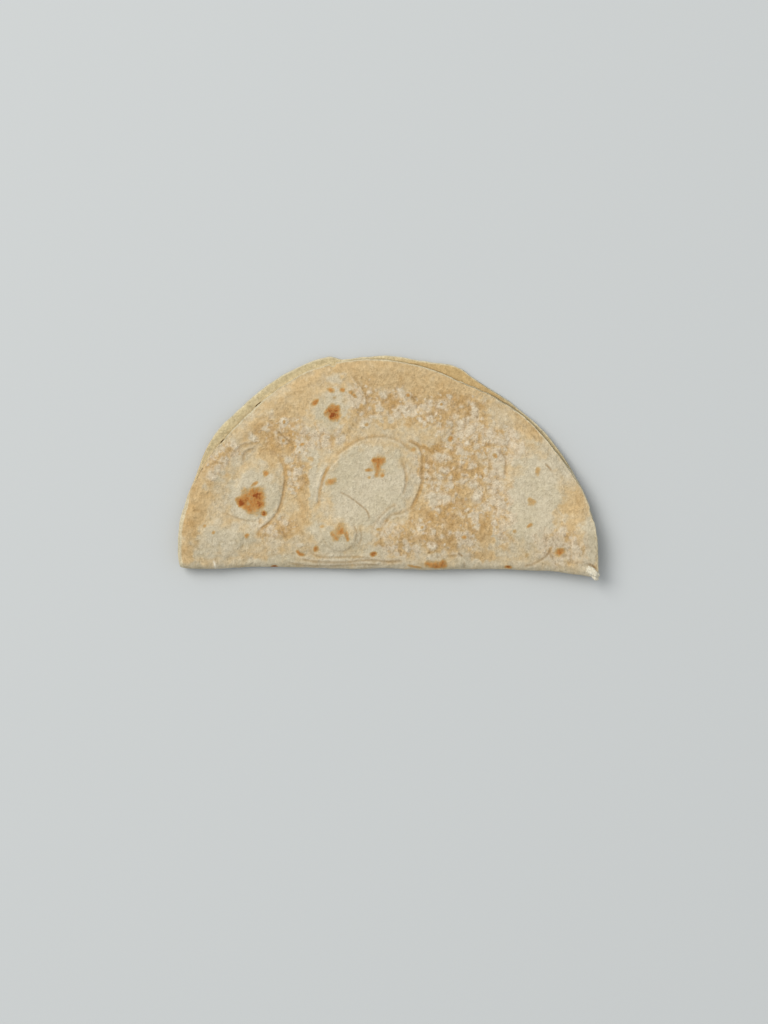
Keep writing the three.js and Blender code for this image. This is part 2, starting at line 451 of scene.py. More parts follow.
@dataclass(frozen=True)
class PlanView:
    """How the picture's pixels lie over the part, seen from straight above."""

    wide: int = 768
    high: int = 1024
    mm_per_pixel: float = 0.598
    middle_x: float = -2.09
    middle_y: float = -27.43

    def place(self, px: Field | float, py: Field | float) -> tuple[Field, Field]:
        """The part's x and y, in millimetres, under a pixel."""
        x = self.middle_x + (np.asarray(px, float) - self.wide / 2) * self.mm_per_pixel
        y = self.middle_y - (np.asarray(py, float) - self.high / 2) * self.mm_per_pixel
        return x, y

    def on_sheet(self, form: SheetForm, px: Field | float, py: Field | float) -> tuple[Field, Field]:
        """The sheet's u and s under a pixel."""
        return form.under(*self.place(px, py))


# ---- The marks of baking, with partly painted shade and highlight on the creases, placed where they are seen from above, in the picture's pixels ----


@dataclass(frozen=True)
class Mark:
    """A mark in the dough: its middle and its half widths, in pixels."""

    px: float
    py: float
    half_wide: float
    half_deep: float


@dataclass(frozen=True)
class Patch(Mark):
    """A broad patch: how toasted it is, from 0 pale to 1 tan, its turn, and the soft share of its half width."""

    tone: float
    turn: float = 0.0
    soft: float = 0.8


@dataclass(frozen=True)
class Scorch(Mark):
    """A brown spot: how dark it is, from 0 to 1, and its turn. A third of that is left at its half width."""

    char: float
    turn: float = 0.0


@dataclass(frozen=True)
class Bubble(Mark):
    """A small bubble that stayed pale, and its turn."""

    turn: float = 0.0


@dataclass(frozen=True)
class Cluster(Mark):
    """Mottled dough: how many small bubbles it has, and their least and greatest radius in millimetres."""

    count: int
    least: float
    most: float


@dataclass(frozen=True)
class Crease:
    """A line in the dough. Its sides are those of someone who walks along its route.

    Attributes:
        route: Pixels that it passes.
        groove: How dark and deep its groove is, from 0 to 1; its dark is partly painted shade.
        ridge: How much the dough stands up and stays pale on the left, or on the right where it is negative; the
            pale is partly a painted highlight.
        band: How tan the dough beside it is on the other side; the tan is partly painted shade.
        channel: Which of the three sets of lines it is in; lines of one set keep apart.
    """

    route: tuple[tuple[float, float], ...]
    groove: float
    ridge: float = 0.0
    band: float = 0.0
    channel: int = 0


PATCHES = tuple(Patch(*row) for row in (
    # pale
    (368, 488, 46, 46, 0.1, 10, 0.35), (254, 498, 30, 30, 0.12, 0, 0.4), (335, 410, 26, 26, 0.33, 0, 0.5),
    (226, 540, 44, 18, 0.3, 0, 0.7), (533, 505, 32, 50, 0.12, -8, 0.5), (312, 470, 9, 42, 0.2, 0, 0.5),
    (548, 440, 24, 22, 0.4), (556, 545, 26, 20, 0.4), (338, 542, 28, 20, 0.26, 0, 0.6), (470, 560, 30, 8, 0.34),
    (350, 562, 60, 7, 0.34), (262, 560, 30, 8, 0.3), (505, 553, 18, 9, 0.36), (345, 431, 16, 8, 0.5),
    # toasted
    (434, 447.5, 17, 5.4, 1.35, 0, 0.6), (384, 424, 16, 6, 0.95, 0, 0.5), (452, 466, 30, 18, 0.92),
    (470, 470, 18, 16, 0.95, 0, 0.5), (448, 520, 26, 34, 0.92, 0, 0.7), (487, 532, 9, 20, 1.14, 0, 0.5),
    (420, 520, 12, 30, 0.82, 0, 0.5), (460, 498, 26, 16, 1), (436, 543, 22, 9, 0.9), (303, 500, 9, 42, 0.86, 0, 0.5),
    (276, 446, 28, 18, 0.88, 20, 0.7), (290, 452, 16, 12, 0.86), (232, 454, 24, 16, 0.42, -30),
    (196, 503, 16, 50, 1.15, -14, 0.7), (188, 556, 10, 12, 1, 0, 0.5), (574, 506, 18, 28, 0.94, 0, 1),
    (520, 424, 16, 13, 0.74), (302, 388, 20, 14, 0.8, 30, 0.5), (290, 407, 24, 15, 0.78, 40, 0.5),
    (258, 430, 22, 15, 0.86, 40, 0.5), (356, 418, 10, 18, 0.84, 0, 0.5), (388, 402, 22, 12, 0.98),
    (410, 416, 22, 10, 0.95), (283, 547, 10, 7, 0.7, 0, 0.5), (210, 474, 12, 18, 0.8, -20, 0.5),
    (427, 470, 9, 26, 0.86, 0, 0.5), (312, 436, 12, 9, 0.5), (466, 398, 22, 10, 0.84), (420, 398, 14, 9, 0.84),
    (273, 470, 10, 12, 0.6), (400, 546, 22, 10, 0.6, 0, 0.9), (438, 386, 42, 11, 0.96, 8), (366, 409, 10, 10, 0.92),
    (298, 461, 10, 8, 0.86), (484, 556, 13, 9, 0.74), (190, 530, 11, 24, 1.1), (294, 521, 10, 10, 0.9),
    (288, 531, 16, 14, 0.95), (262, 533, 12, 7, 0.66), (226, 474, 18, 9, 0.72, -20), (282, 408, 22, 8, 0.94, -20),
    (344, 424, 8, 8, 0.8), (400, 380, 44, 9, 0.98, 4), (478, 408, 26, 9, 0.94, 20), (432, 540, 18, 16, 1),
    (478, 474, 12, 14, 1.15), (534, 430, 22, 13, 0.94, -45), (515, 412, 14, 8, 0.74, -30),
    # pale again
    (303, 373, 24, 7, 0.6, 25), (322, 427, 12, 13, 0.28), (274, 563, 36, 8, 0.18), (317, 528, 12, 14, 0.3),
    (364, 538, 18, 10, 0.25), (395, 454, 13, 11, 0.28), (526, 462, 26, 9, 0.2), (361, 394, 7, 9, 0.36),
    (346, 401, 8, 9, 0.64), (325, 478, 7, 24, 0.3, 10), (320, 414, 7, 12, 0.12), (413, 414, 8, 8, 0.4),
    (458, 434, 12, 8, 0.4), (436, 500, 14, 8, 0.4), (480, 490, 10, 6, 0.4), (206, 552, 16, 8, 0.3),
    (372, 552, 34, 7, 0.26), (498, 467, 9, 16, 0.3), (337, 379, 10, 8, 0.42), (464, 455, 9, 7, 0.35),
    (552, 463, 9, 8, 0.16), (267, 430, 9, 7, 0.45), (360, 402, 8, 7, 0.1), (497, 537, 8, 8, 0.12),
    (209, 489, 8, 9, 0.5), (488, 502, 10, 8, 0.4), (591, 544, 10, 34, 0.06, 4, 0.9), (566, 470, 8, 22, 0.4, 24, 0.9),
    # tan again
    (482, 556, 20, 7, 0.92), (254, 551, 16, 9, 0.6), (271, 458, 15, 9, 1.02), (506, 512, 5, 44, 0.56, 4, 0.9),
    (287, 472, 4, 15, 1.05, -6, 0.9), (236, 446, 8, 7, 0.66), (220, 467, 9, 8, 0.76), (346, 432, 9, 7, 0.86),
    (308, 465, 7, 11, 1.15), (425, 421, 11, 7, 1.6), (448, 395, 10, 7, 1.4), (466, 513, 8, 7, 1.2),
    (506, 550, 8, 7, 0.76), (574, 523, 10, 9, 0.95), (406, 554, 10, 7, 0.86), (306, 409, 9, 7, 0.9),
    (256, 555, 13, 6, 0.8), (486, 418, 10, 7, 1.05), (560, 530, 10, 9, 0.72), (556, 517, 8, 9, 0.72),
    (426, 449, 9, 5, 1.6), (234, 456, 10, 9, 0.42), (396, 505, 9, 7, 0.42), (403, 489, 5, 9, 0.4),
    # pale once more
    (448, 462, 9, 7, 0.4), (304, 434, 8, 7, 0.22), (222, 478, 8, 7, 0.36), (481, 401, 9, 7, 0.5),
))  # fmt: skip
BASE_TONE = 0.56
FOLD_TONE = 0.24
TOP_BAND = Span(50, 124, 22, 14)  # the toasted band under the back rim
TOP_BAND_REACH = 24.0
TOP_BAND_TONE = 0.82

SCORCHES = tuple(Scorch(*row) for row in (
    # above the middle
    (333, 413.5, 7.6, 8, 0.66), (333.6, 416, 5.6, 5.6, 0.88), (330, 410, 3.4, 3.6, 0.45), (336.4, 408.6, 3, 2.6, 0.4),
    (325.4, 413, 2.4, 2, 0.4), (315, 402, 4.8, 2.6, 0.68, 28), (330.6, 390, 4.6, 2.2, 0.55, -26),
    (342.7, 390.3, 3, 2.8, 0.55), (351.4, 392.8, 3.6, 2, 0.42, -38), (355.4, 395.8, 2.6, 1.6, 0.45, -38),
    (334.6, 397.7, 2.4, 2.2, 0.3),
    # the left blister
    (253.5, 500.6, 12.8, 13.2, 0.5), (258, 504.5, 8, 7, 0.2), (244, 491, 6, 4.4, 0.08), (262.6, 488, 4.4, 4, 0.12),
    (241.3, 501.6, 5.2, 5, 0.74), (241, 503.6, 2.8, 2.8, 0.5), (256.3, 494.3, 5.4, 6.4, 0.56, 20),
    (255.6, 495.4, 2.8, 3, 0.5), (260.6, 504.8, 3.6, 3.4, 0.4), (248.6, 508.6, 6, 3.8, 0.5, -30),
    (246.4, 497, 3.4, 4, 0.36, 30), (264.2, 513.6, 2.9, 2.9, 0.82), (265.8, 473, 3.4, 3, 0.52),
    (254.6, 483.4, 4.6, 1.6, 0.46, 36),
    # the middle blister
    (376.6, 461.4, 4.4, 4, 0.5), (374.6, 460.6, 2, 2.2, 0.3), (377.2, 466.6, 3.4, 6.6, 0.42),
    (382.4, 461, 3.4, 4, 0.44), (380, 458, 7, 6.6, 0.16), (380, 472, 5.4, 5.4, 0.2), (372.6, 467, 5, 4.6, 0.16),
    (376.4, 474.6, 2.2, 2.8, 0.4), (368.6, 470.2, 3.6, 1.7, 0.52), (369.2, 477.6, 1.9, 1.7, 0.4),
    (382.6, 475.6, 2, 1.7, 0.42), (330.6, 482.6, 5.6, 3.2, 0.42), (334.8, 479.4, 2.6, 2.2, 0.3),
    (335, 534.5, 5.4, 5.2, 0.29, 30), (340.4, 530.4, 5.6, 3.6, 0.36), (331.6, 534, 2.4, 2.6, 0.34),
    (335.6, 538.4, 2.6, 2.4, 0.34), (341.6, 531.6, 2.4, 2.4, 0.44), (346.2, 534.6, 2.4, 3.2, 0.62, 14),
    (347.8, 538.4, 1.9, 3, 0.52, 14), (341, 525.4, 4.4, 4, 0.3),
    # near the fold
    (316.2, 548.8, 3.2, 2.8, 0.66), (301, 553.8, 4.2, 1.9, 0.72, -20), (297.4, 551.2, 1.9, 1.6, 0.5),
    (373.6, 554.4, 3.6, 2.6, 0.88), (247.4, 536.3, 2.7, 2.6, 0.5), (274.6, 566.2, 3.2, 1.4, 1),
    (430, 564.4, 5.6, 4, 0.36), (438.4, 565.4, 6.4, 3.8, 0.5), (443.6, 564, 3.4, 3.6, 0.6),
    (427.4, 565.4, 3, 2.2, 0.3), (436, 567, 3.6, 1.4, 0.3), (411.5, 566, 4.4, 1.2, 0.46, -8),
    (418, 567.2, 4.2, 1.2, 0.5, -8), (508, 566.8, 4.4, 1.5, 0.8), (559.5, 551.8, 4, 3.4, 0.58),
    (559.5, 552, 6.6, 5.4, 0.16),
    # small brown dots
    (204.9, 526.1, 1.9, 1.8, 0.56), (213.5, 532.3, 1.7, 1.7, 0.48), (421.7, 527, 1.9, 2, 0.4),
    (441.7, 404.5, 1.9, 1.6, 0.48),
    # the right half
    (529.6, 525.8, 3.4, 2.1, 0.56, 20), (531.4, 502.2, 4.4, 4.2, 0.32), (537.6, 471.6, 2.9, 5.2, 0.3),
    (494.5, 455.8, 2.8, 2.9, 0.42), (451.1, 438.9, 2.9, 2.9, 0.48), (459.2, 438.8, 1.9, 1.7, 0.3),
    (413.1, 449.7, 3.5, 2.6, 0.38), (407.8, 395.3, 2.4, 1.9, 0.66), (464.5, 537.4, 2.5, 2.6, 0.46),
    (478.3, 465, 1.3, 1.2, 0.4), (284.3, 422.3, 1.4, 2.2, 0.62), (302, 444.2, 3, 1.8, 0.5, 20),
    (294.6, 446.6, 2.6, 1.6, 0.46), (322, 526, 2.6, 2.6, 0.3), (515, 531.6, 2.2, 2, 0.36),
    (527, 555.4, 2.2, 2.6, 0.26), (379, 529, 2.8, 1.6, 0.36), (295, 487.3, 1.9, 1.7, 0.36),
    (283, 440.6, 1.6, 1.8, 0.5), (299.6, 452.7, 1.4, 1.4, 0.44), (367, 424.8, 2.6, 1.7, 0.4),
    (497.5, 527, 2, 1.8, 0.3),
))  # fmt: skip

BUBBLES = tuple(Bubble(*row) for row in (
    (284.5, 422, 5.5, 5.5), (283.4, 440.4, 5, 5), (299.6, 452.4, 4.6, 5), (383, 395, 5.6, 5.4),
    (365.5, 424.6, 8, 5.6), (407.8, 395.3, 5, 4.6), (408, 408.5, 7.4, 6.8), (441.5, 404.4, 7.5, 5.5),
    (440, 457, 9.5, 5.5), (426.5, 466, 4.2, 4.2), (426.2, 476, 4, 4.2), (444.5, 470.7, 5.4, 5),
    (444.5, 498.2, 7.6, 7.2), (429.7, 494.7, 5.4, 5.2), (473.2, 484.5, 5.6, 5.2), (474, 412, 5, 9.5),
    (421.7, 527, 6, 5.6), (464.7, 537.2, 7.4, 6.8), (451.1, 439, 6, 5.4), (495, 457, 8.4, 7.4),
    (287.5, 461, 4.2, 4.6), (515.5, 436.5, 6, 5.4), (476, 498, 6.2, 6.2), (432, 545, 6.6, 4.6), (300.5, 545, 5, 3.6),
    (398, 415, 6, 5.2), (252, 437, 6.2, 4.4, -40), (268, 478, 5, 4),
))  # fmt: skip

CLUSTERS = tuple(Cluster(*row) for row in (
    (446, 468, 34, 36, 30, 1, 2.8), (450, 525, 40, 34, 30, 0.8, 2.4), (404, 406, 36, 18, 22, 1, 2.6),
    (452, 412, 38, 20, 24, 0.8, 2.4), (475, 440, 34, 26, 18, 1, 2.6), (490, 495, 22, 40, 18, 1, 2.8),
    (504, 446, 24, 20, 10, 1, 2.6), (285, 436, 30, 24, 20, 0.9, 2.2), (297, 474, 12, 22, 10, 0.8, 1.8),
    (217, 464, 14, 14, 8, 0.8, 1.8), (276, 528, 26, 12, 8, 0.8, 2), (365, 402, 18, 26, 12, 0.9, 2.4),
    (400, 538, 26, 20, 18, 0.9, 2.4), (320, 440, 34, 12, 8, 0.8, 2), (560, 545, 28, 20, 10, 0.8, 2.2),
    (230, 452, 15, 10, 10, 0.8, 1.8), (504, 516, 9, 38, 12, 0.6, 1.6),
))  # fmt: skip

CREASES = tuple(Crease(*row) for row in (
    # the left blister
    (((279, 456), (282.6, 466), (284.4, 474), (284.4, 483)), 0.22, -0.5, 1.3, 1),
    (((284.8, 476), (284.4, 483), (282.2, 496), (277.6, 511), (267.6, 523.3), (258, 529.6)), 0.85, -0.6, 1.0, 0),
    (((266, 525.6), (259, 530.4), (254.6, 535)), 0.25, -0.5, 0.6, 2),
    (((222.6, 512.6), (234, 516.6), (247, 520.8), (258, 520.8)), 0.4, 0.35, 0.1, 1),
    (((227.7, 486), (225, 498), (222.6, 511)), 0.25, 0.3, 0.1, 2),
    (((231, 459), (236, 450.5), (245, 444.7), (260, 442.4)), 0.3, 0.6, 0.3, 1),
    (((243, 463), (243.4, 456), (248, 450.6), (257, 447.6)), 0.5, 0.5, 0.5, 2),
    # the middle blister
    (((407, 441), (414, 443.6), (420, 449), (422.2, 461), (421.8, 474), (420, 487), (415.8, 498), (409.6, 510)),
     0.56, -0.5, 1.1, 0),
    (((401.6, 461), (404.6, 471), (405.4, 484), (401.8, 496)), 0.44, -0.5, 0.5, 1),
    (((334.9, 456.8), (345.3, 448.9), (357.5, 441.1), (369.7, 437.6), (383.7, 436.7), (396, 440), (405, 446),
      (412, 453.4)), 0.34, -0.6, 0.45, 2),
    (((330, 463), (324.4, 472), (320.6, 483), (318.2, 495), (317.6, 507)), 0.2, -0.95, 1.0, 0),
    (((342, 455), (333, 463), (327, 471)), 0.15, 0.6, 0.2, 1),
    (((338.2, 491.6), (344, 494), (350.6, 497.7), (361, 505.6), (367.6, 512), (369.9, 521)), 0.62, 0.3, 0.0, 0),
    (((318, 519), (319.6, 528), (322, 535)), 0.35, 0.3, 0.1, 2),
    (((321.6, 533), (323, 537.6), (325, 541.6), (330.4, 548), (338, 551.4), (347, 549.6), (354, 543)),
     0.2, 0.22, 0.2, 1),
    (((352.6, 523), (356.6, 532), (354.4, 545)), 0.42, -0.5, 0.1, 2),
    (((358.4, 526), (361.6, 535), (358.8, 547)), 0.4, -0.5, 0.1, 0),
    (((398, 503), (388, 510), (380, 518), (370.6, 531)), 0.3, 0.7, 0.4, 2),
    (((413, 507), (402, 513), (391.4, 516), (383, 527), (376, 540)), 0.3, 0.7, 0.45, 1),
    # the puff at the top left and the dough round it
    (((350, 373), (355.6, 379.6), (361.6, 387), (366.2, 396.6), (365.6, 409)), 0.4, -0.6, 0.35, 1),
    (((347, 379), (353, 386), (357.6, 394)), 0.2, -0.5, 0.1, 2),
    (((273.6, 427.6), (280, 433.4), (288.8, 440.8), (293.4, 446)), 0.72, 0.3, 0.4, 0),
    (((313, 395), (308, 404), (309, 416)), 0.15, 0.4, 0.1, 2),
    # the right half
    (((500.6, 451.6), (505, 458), (505.4, 467), (504.2, 477)), 0.55, -0.3, 0.35, 2),
    (((511.8, 467), (513.8, 472), (514, 480)), 0.25, 0.2, 0.0, 1),
    (((544.6, 463.6), (548.6, 467.6), (552, 472.8)), 0.7, 0.3, 0.0, 0),
    (((550.8, 546), (549.2, 551), (545.6, 556), (540.6, 559.4), (532.6, 564), (522, 566.4)), 0.66, 0.5, 0.15, 0),
    (((463.9, 560.6), (464.4, 565), (463.9, 568.4)), 0.55, 0.2, 0.0, 1),
    (((578, 543), (571, 546), (569.6, 551), (574, 554.6)), 0.2, 0.7, 0.1, 1),
    (((562, 546), (565.6, 540)), 0.1, 0.7, 0.0, 2),
    # the fold
    (((300, 558.8), (320, 562), (344, 562.2), (366, 560), (386, 561.4), (404, 560.8)), 0.62, 0.6, 0.25, 1),
    (((308, 545.4), (310.4, 550.8), (315.4, 555), (328, 557.4), (350, 556.6), (374, 558.2)), 0.4, 0.4, 0.3, 2),
    (((286, 562), (304, 565.4), (330, 566), (356, 564.6), (382, 565.6)), 0.45, 0.5, 0.1, 0),
    (((446, 556), (462, 555.4), (478, 557.6)), 0.3, 0.5, 0.1, 2),
    (((211.2, 560.6), (213, 564), (214.6, 568.6)), 0.0, 1.6, 0.3, 2),
    (((271.6, 565.6), (277.2, 566)), 1.0, 0.0, 0.2, 2),
    (((505, 567.4), (511.6, 567.2)), 1.0, 0.3, 0.2, 2),
    (((457.8, 553), (463.2, 556.6)), 1.0, 0.2, 0.1, 1),
    (((427.8, 552.6), (431.6, 552.4)), 0.9, 0.2, 0.0, 2),
    (((436, 557), (440.4, 556.8)), 0.8, 0.2, 0.0, 2),
    # the torn end
    (((584.4, 564.6), (589.6, 564.8), (593.4, 566.8), (596.8, 570.4)), 1.0, -0.3, 0.3, 1),
))  # fmt: skip

# Short steps of the upper rim: bearing, half width in degrees and how far the rim draws back there, in millimetres.
RIM_STEPS = (
    (128.5, 1.0, 0.3),
    (142.7, 1.0, 0.25),
    (105.4, 0.7, 1.7),
    (70.5, 1.0, 0.6),
    (67.0, 1.2, 0.4),
    (62.6, 1.0, 0.3),
    (56.0, 1.3, 0.3),
    (162.8, 1.1, 0.6),
    (14.8, 1.7, 0.8),
)

# How dark the painted shadow in the slit under the upper rim is, by bearing, and where and how much painted
# shade darkens the lower leaf beside it.
SLIT = (
    (Span(10, 54, 6, 8), 0.42),
    (Span(46, 66, 8, 10), 0.55),
    (Span(66, 104, 10, 6), 0.38),
    (Span(125, 148, 4, 4), 0.22),
    (Span(127.2, 129.8, 0.8, 0.8), 1.0),
    (Span(141.6, 143.8, 0.8, 0.8), 1.0),
)
# Where painted shade darkens the lower leaf's strip outside the upper rim, and how much.
SHADED_STRIP = Span(16, 64, 10, 12)
STRIP_SHADE = 0.34
SLIT_FAR = 4.0  # the distance from the upper rim, in millimetres, that stands for far from it


@dataclass
class BakedSurface:
    """What baking did to the sheet, worked out at the sheet's points.

    Attributes:
        form: The sheet's form.
        plan: How the picture lies over it.
        u: The points' places along the fold.
        s: Their places across it.
        side: Which face they are on.
        to_rim: Their distances to the rim.
        patch_wander: How far the edges of patches wander, in millimetres.
        cluster_wander: The same for the clusters.
        bubble_wander: The same for the small bubbles.
        loose_bubbles: How many small bubbles are tried outside the clusters.
        loose_radii: Their least and greatest radius.
        bubble_rise: Height of a placed bubble.
        spots_below: How many brown spots the underside has.
        fold_turn: How far below the fold the marks of the upper leaf have given way to the underside's.
        line_reach: How far from a crease its groove is felt.
        line_far: The distance that stands for no crease.
    """

    form: SheetForm
    plan: PlanView
    u: Field
    s: Field
    side: Field
    to_rim: Field
    patch_wander: float = 3.4
    cluster_wander: float = 5.0
    bubble_wander: float = 1.3
    loose_bubbles: int = 360
    loose_radii: tuple[float, float] = (0.8, 1.9)
    bubble_rise: float = 0.18
    spots_below: int = 46
    fold_turn: float = 9.0
    line_reach: float = 3.2
    line_far: float = 3.0
    ragged: tuple[Field, Field] = field(init=False)
    tone: Field = field(init=False)
    puff: Field = field(init=False)
    dome: Field = field(init=False)
    mottle: Field = field(init=False)
    scorch: Field = field(init=False)
    line_at: Field = field(init=False)
    line_on: Field = field(init=False)
    ridge: Field = field(init=False)

    def __post_init__(self) -> None:
        """Works out every field."""
        self.ragged = tuple(self._noise(draw, 3.6) for draw in (Draw.RAGGED_U, Draw.RAGGED_S))
        self.tone = self._tones()
        self.mottle = self._mottled()
        self.puff, self.dome = self._bubbles()
        self.scorch = self._scorches()
        self.line_at, self.line_on, self.ridge = self._lines()

    def _noise(self, draw: Draw, size: float) -> Field:
        """Layered noise at the points."""
        return LatticeNoise(draw).layered(self.u, self.s, size)

    def _past_fold(self, above: Field, below: Field) -> Field:
        """The upper leaf's values, which give way to the underside's below the fold."""
        return np.where(self.s > 0, above, lerp(above, below, ease(-self.s / self.fold_turn)))

    def _inside(self, mark: Mark, wander: float, turn: float = 0.0) -> Field:
        """How far the points are inside a mark: 1 at its middle, 0 at its edge and negative outside.

        Args:
            mark: The mark.
            wander: How far its edge wanders, in millimetres.
            turn: Its turn in degrees.

        Returns:
            One number for each point.
        """
        at_u, at_s = self.plan.on_sheet(self.form, mark.px, mark.py)
        du, ds = self.u + wander * self.ragged[0] - at_u, self.s + wander * self.ragged[1] - at_s
        along, across = turned(du, ds, -turn)
        mm = self.plan.mm_per_pixel
        return 1.0 - np.hypot(along / (mark.half_wide * mm), across / (mark.half_deep * mm))

    def _tones(self) -> Field:
        """How toasted each point is, from 0 to 1, before the shader breaks it up."""
        band = ease(1.25 - self.to_rim / TOP_BAND_REACH) * TOP_BAND.at(self.form.bearing(self.u, self.s))
        tone = lerp(BASE_TONE, TOP_BAND_TONE, band)
        for patch in PATCHES:
            tone = lerp(tone, patch.tone, ease(self._inside(patch, self.patch_wander, patch.turn) / patch.soft))
        tone = lerp(tone, FOLD_TONE, ease((7.0 - self.s) / 8.0) * 0.8)
        return self._past_fold(tone, 0.42 + 0.3 * self._noise(Draw.TONE_BELOW, 26.0))

    def _mottled(self) -> Field:
        """How mottled the dough is, from 0 where it baked evenly to 1."""
        mottle = np.zeros(len(self.u))
        for cluster in CLUSTERS:
            mottle = np.maximum(mottle, ease((self._inside(cluster, self.cluster_wander) + 0.15) / 0.6))
        return self._past_fold(mottle, 0.5 + 0.5 * self._noise(Draw.MOTTLE_BELOW, 30.0))

    def _bubbles(self) -> tuple[Field, Field]:
        """The small bubbles.

        Returns:
            How far each point is inside a bubble, from -1 to 1, and the bubbles' height in millimetres.
        """
        inside, height = np.full(len(self.u), -1.0), np.zeros(len(self.u))
        outer, wander = self.side > 0, self.bubble_wander
        for bubble in BUBBLES:
            here = np.where(outer & (self.s > -7.0), self._inside(bubble, wander, bubble.turn), -1.0)
            inside = np.maximum(inside, here)
            height = np.maximum(height, self.bubble_rise * ease(here / 0.8))
        rng = np.random.default_rng(Draw.SMALL_BUBBLES)
        for at_u, at_s, least, most in self._bubble_places(rng):
            radius, stretch, rise = rng.uniform(least, most), rng.uniform(0.7, 1.4), rng.uniform(0.05, 0.17)
            strong, wanted = rng.uniform(0.4, 1.0), rng.uniform(0.1, 0.7)
            near = outer & (np.maximum(np.abs(self.u - at_u), np.abs(self.s - at_s)) < 2.4 * radius)
            if not near.any() or self.mottle[near].mean() < wanted:
                continue
            du = (self.u[near] + wander * self.ragged[0][near] - at_u) / stretch
            ds = (self.s[near] + wander * self.ragged[1][near] - at_s) * stretch
            here = 1.0 - np.hypot(du, ds) / radius
            inside[near] = np.maximum(inside[near], here - 1.0 + strong)
            height[near] = np.maximum(height[near], rise * ease(here / 0.9))
        return inside, height

    def _bubble_places(self, rng: np.random.Generator) -> list[tuple[float, float, float, float]]:
        """Where small bubbles are tried: u, s, and their least and greatest radius."""
        far = self.form.disc_radius - 1.0
        loose = range(self.loose_bubbles)
        places = [(rng.uniform(-far, far), rng.uniform(-far, far), *self.loose_radii) for _ in loose]
        for cluster in CLUSTERS:
            mid_u, mid_s = (float(x) for x in self.plan.on_sheet(self.form, cluster.px, cluster.py))
            for _ in range(cluster.count):
                turn, off = rng.uniform(0.0, 2.0 * math.pi), math.sqrt(rng.uniform(0.0, 1.0)) * self.plan.mm_per_pixel
                at_u = mid_u + off * cluster.half_wide * math.cos(turn)
                at_s = mid_s + off * cluster.half_deep * math.sin(turn)
                places.append((at_u, at_s, cluster.least, cluster.most))
        return places

    def _scorches(self) -> Field:
        """How dark the brown spots are at each point, from 0 to 1. Where they overlap, they darken each other."""
        clear = np.ones(len(self.u))
        outer = self.side > 0
        on_top = outer & (self.s > -self.fold_turn)
        for spot in SCORCHES:
            wander = 0.5 * self.plan.mm_per_pixel * min(spot.half_wide, spot.half_deep)
            here = self._inside(spot, min(1.6, wander), spot.turn)
            clear *= 1.0 - np.where(on_top, spot.char * ease((here + 0.45) / 1.15), 0.0)
        rng = np.random.default_rng(Draw.SPOTS_BELOW)
        for _ in range(self.spots_below):
            angle, far = rng.uniform(0.0, math.pi), 118.0 * math.sqrt(rng.uniform(0.0, 1.0))
            at_u, at_s = far * math.cos(angle), -far * math.sin(angle) - 6.0
            radius, dark = rng.uniform(1.0, 3.4), rng.uniform(0.3, 0.95)
            off = np.hypot(self.u + self.ragged[0] - at_u, self.s + self.ragged[1] - at_s)
            clear *= 1.0 - np.where(outer, dark * ease((1.45 - off / radius) / 1.15), 0.0)
        return 1.0 - clear

    def _lines(self) -> tuple[Field, Field, Field]:
        """The creases.

        Returns:
            For each point, its distances to the nearest line of each set, how much of a groove those lines are
            there, and how much of a pale ridge, partly a painted highlight (or, below 0, of a tan band, partly
            painted shade), runs through the point.
        """
        count = len(self.u)
        at, on, ridge = np.full((count, 3), self.line_far), np.zeros((count, 3)), np.zeros(count)
        for crease in CREASES:
            route = self._smooth_route(crease.route)
            low, high = route.min(axis=0) - 2.0 * self.line_reach, route.max(axis=0) + 2.0 * self.line_reach
            near = (self.side > 0) & (self.u > low[0]) & (self.u < high[0]) & (self.s > low[1]) & (self.s < high[1])
            index = np.flatnonzero(near)
            away, along, length = self._from_route(route, self.u[index], self.s[index])
            ends = ease(np.minimum(along, length - along) / min(4.0, length / 3.0) + 0.15)
            strength = crease.groove * ends * ease((self.line_reach - np.abs(away)) / 1.6)
            channel = crease.channel
            stronger = strength > on[index, channel]
            at[index[stronger], channel] = away[stronger].clip(-self.line_far, self.line_far)
            on[index[stronger], channel] = strength[stronger]
            hand = 1.0 if crease.ridge >= 0 else -1.0
            up = abs(crease.ridge) * np.exp(-(((away * hand - 1.15) / 0.85) ** 2)) * ends
            tan = crease.band * np.exp(-(((away * hand + 0.6) / 1.15) ** 2)) * ends
            change = up - tan
            ridge[index] = np.where(np.abs(change) > np.abs(ridge[index]), change, ridge[index])
        return at, on, ridge

    def _smooth_route(self, pixels: Sequence[tuple[float, float]]) -> Field:
        """A crease's route as closely spaced sheet points on a smooth curve through its pixels."""
        px, py = np.array(pixels, float).T
        points = np.stack(self.plan.on_sheet(self.form, px, py), axis=1)
        padded = np.vstack([2 * points[0] - points[1], points, 2 * points[-1] - points[-2]])
        t = np.linspace(0.0, 1.0, 10, endpoint=False)[:, None]
        parts = [
            0.5 * (2 * b + (c - a) * t + (2 * a - 5 * b + 4 * c - d) * t**2 + (3 * b - a - 3 * c + d) * t**3)
            for a, b, c, d in zip(padded, padded[1:], padded[2:], padded[3:])
        ]
        return np.vstack([*parts, points[-1:]])

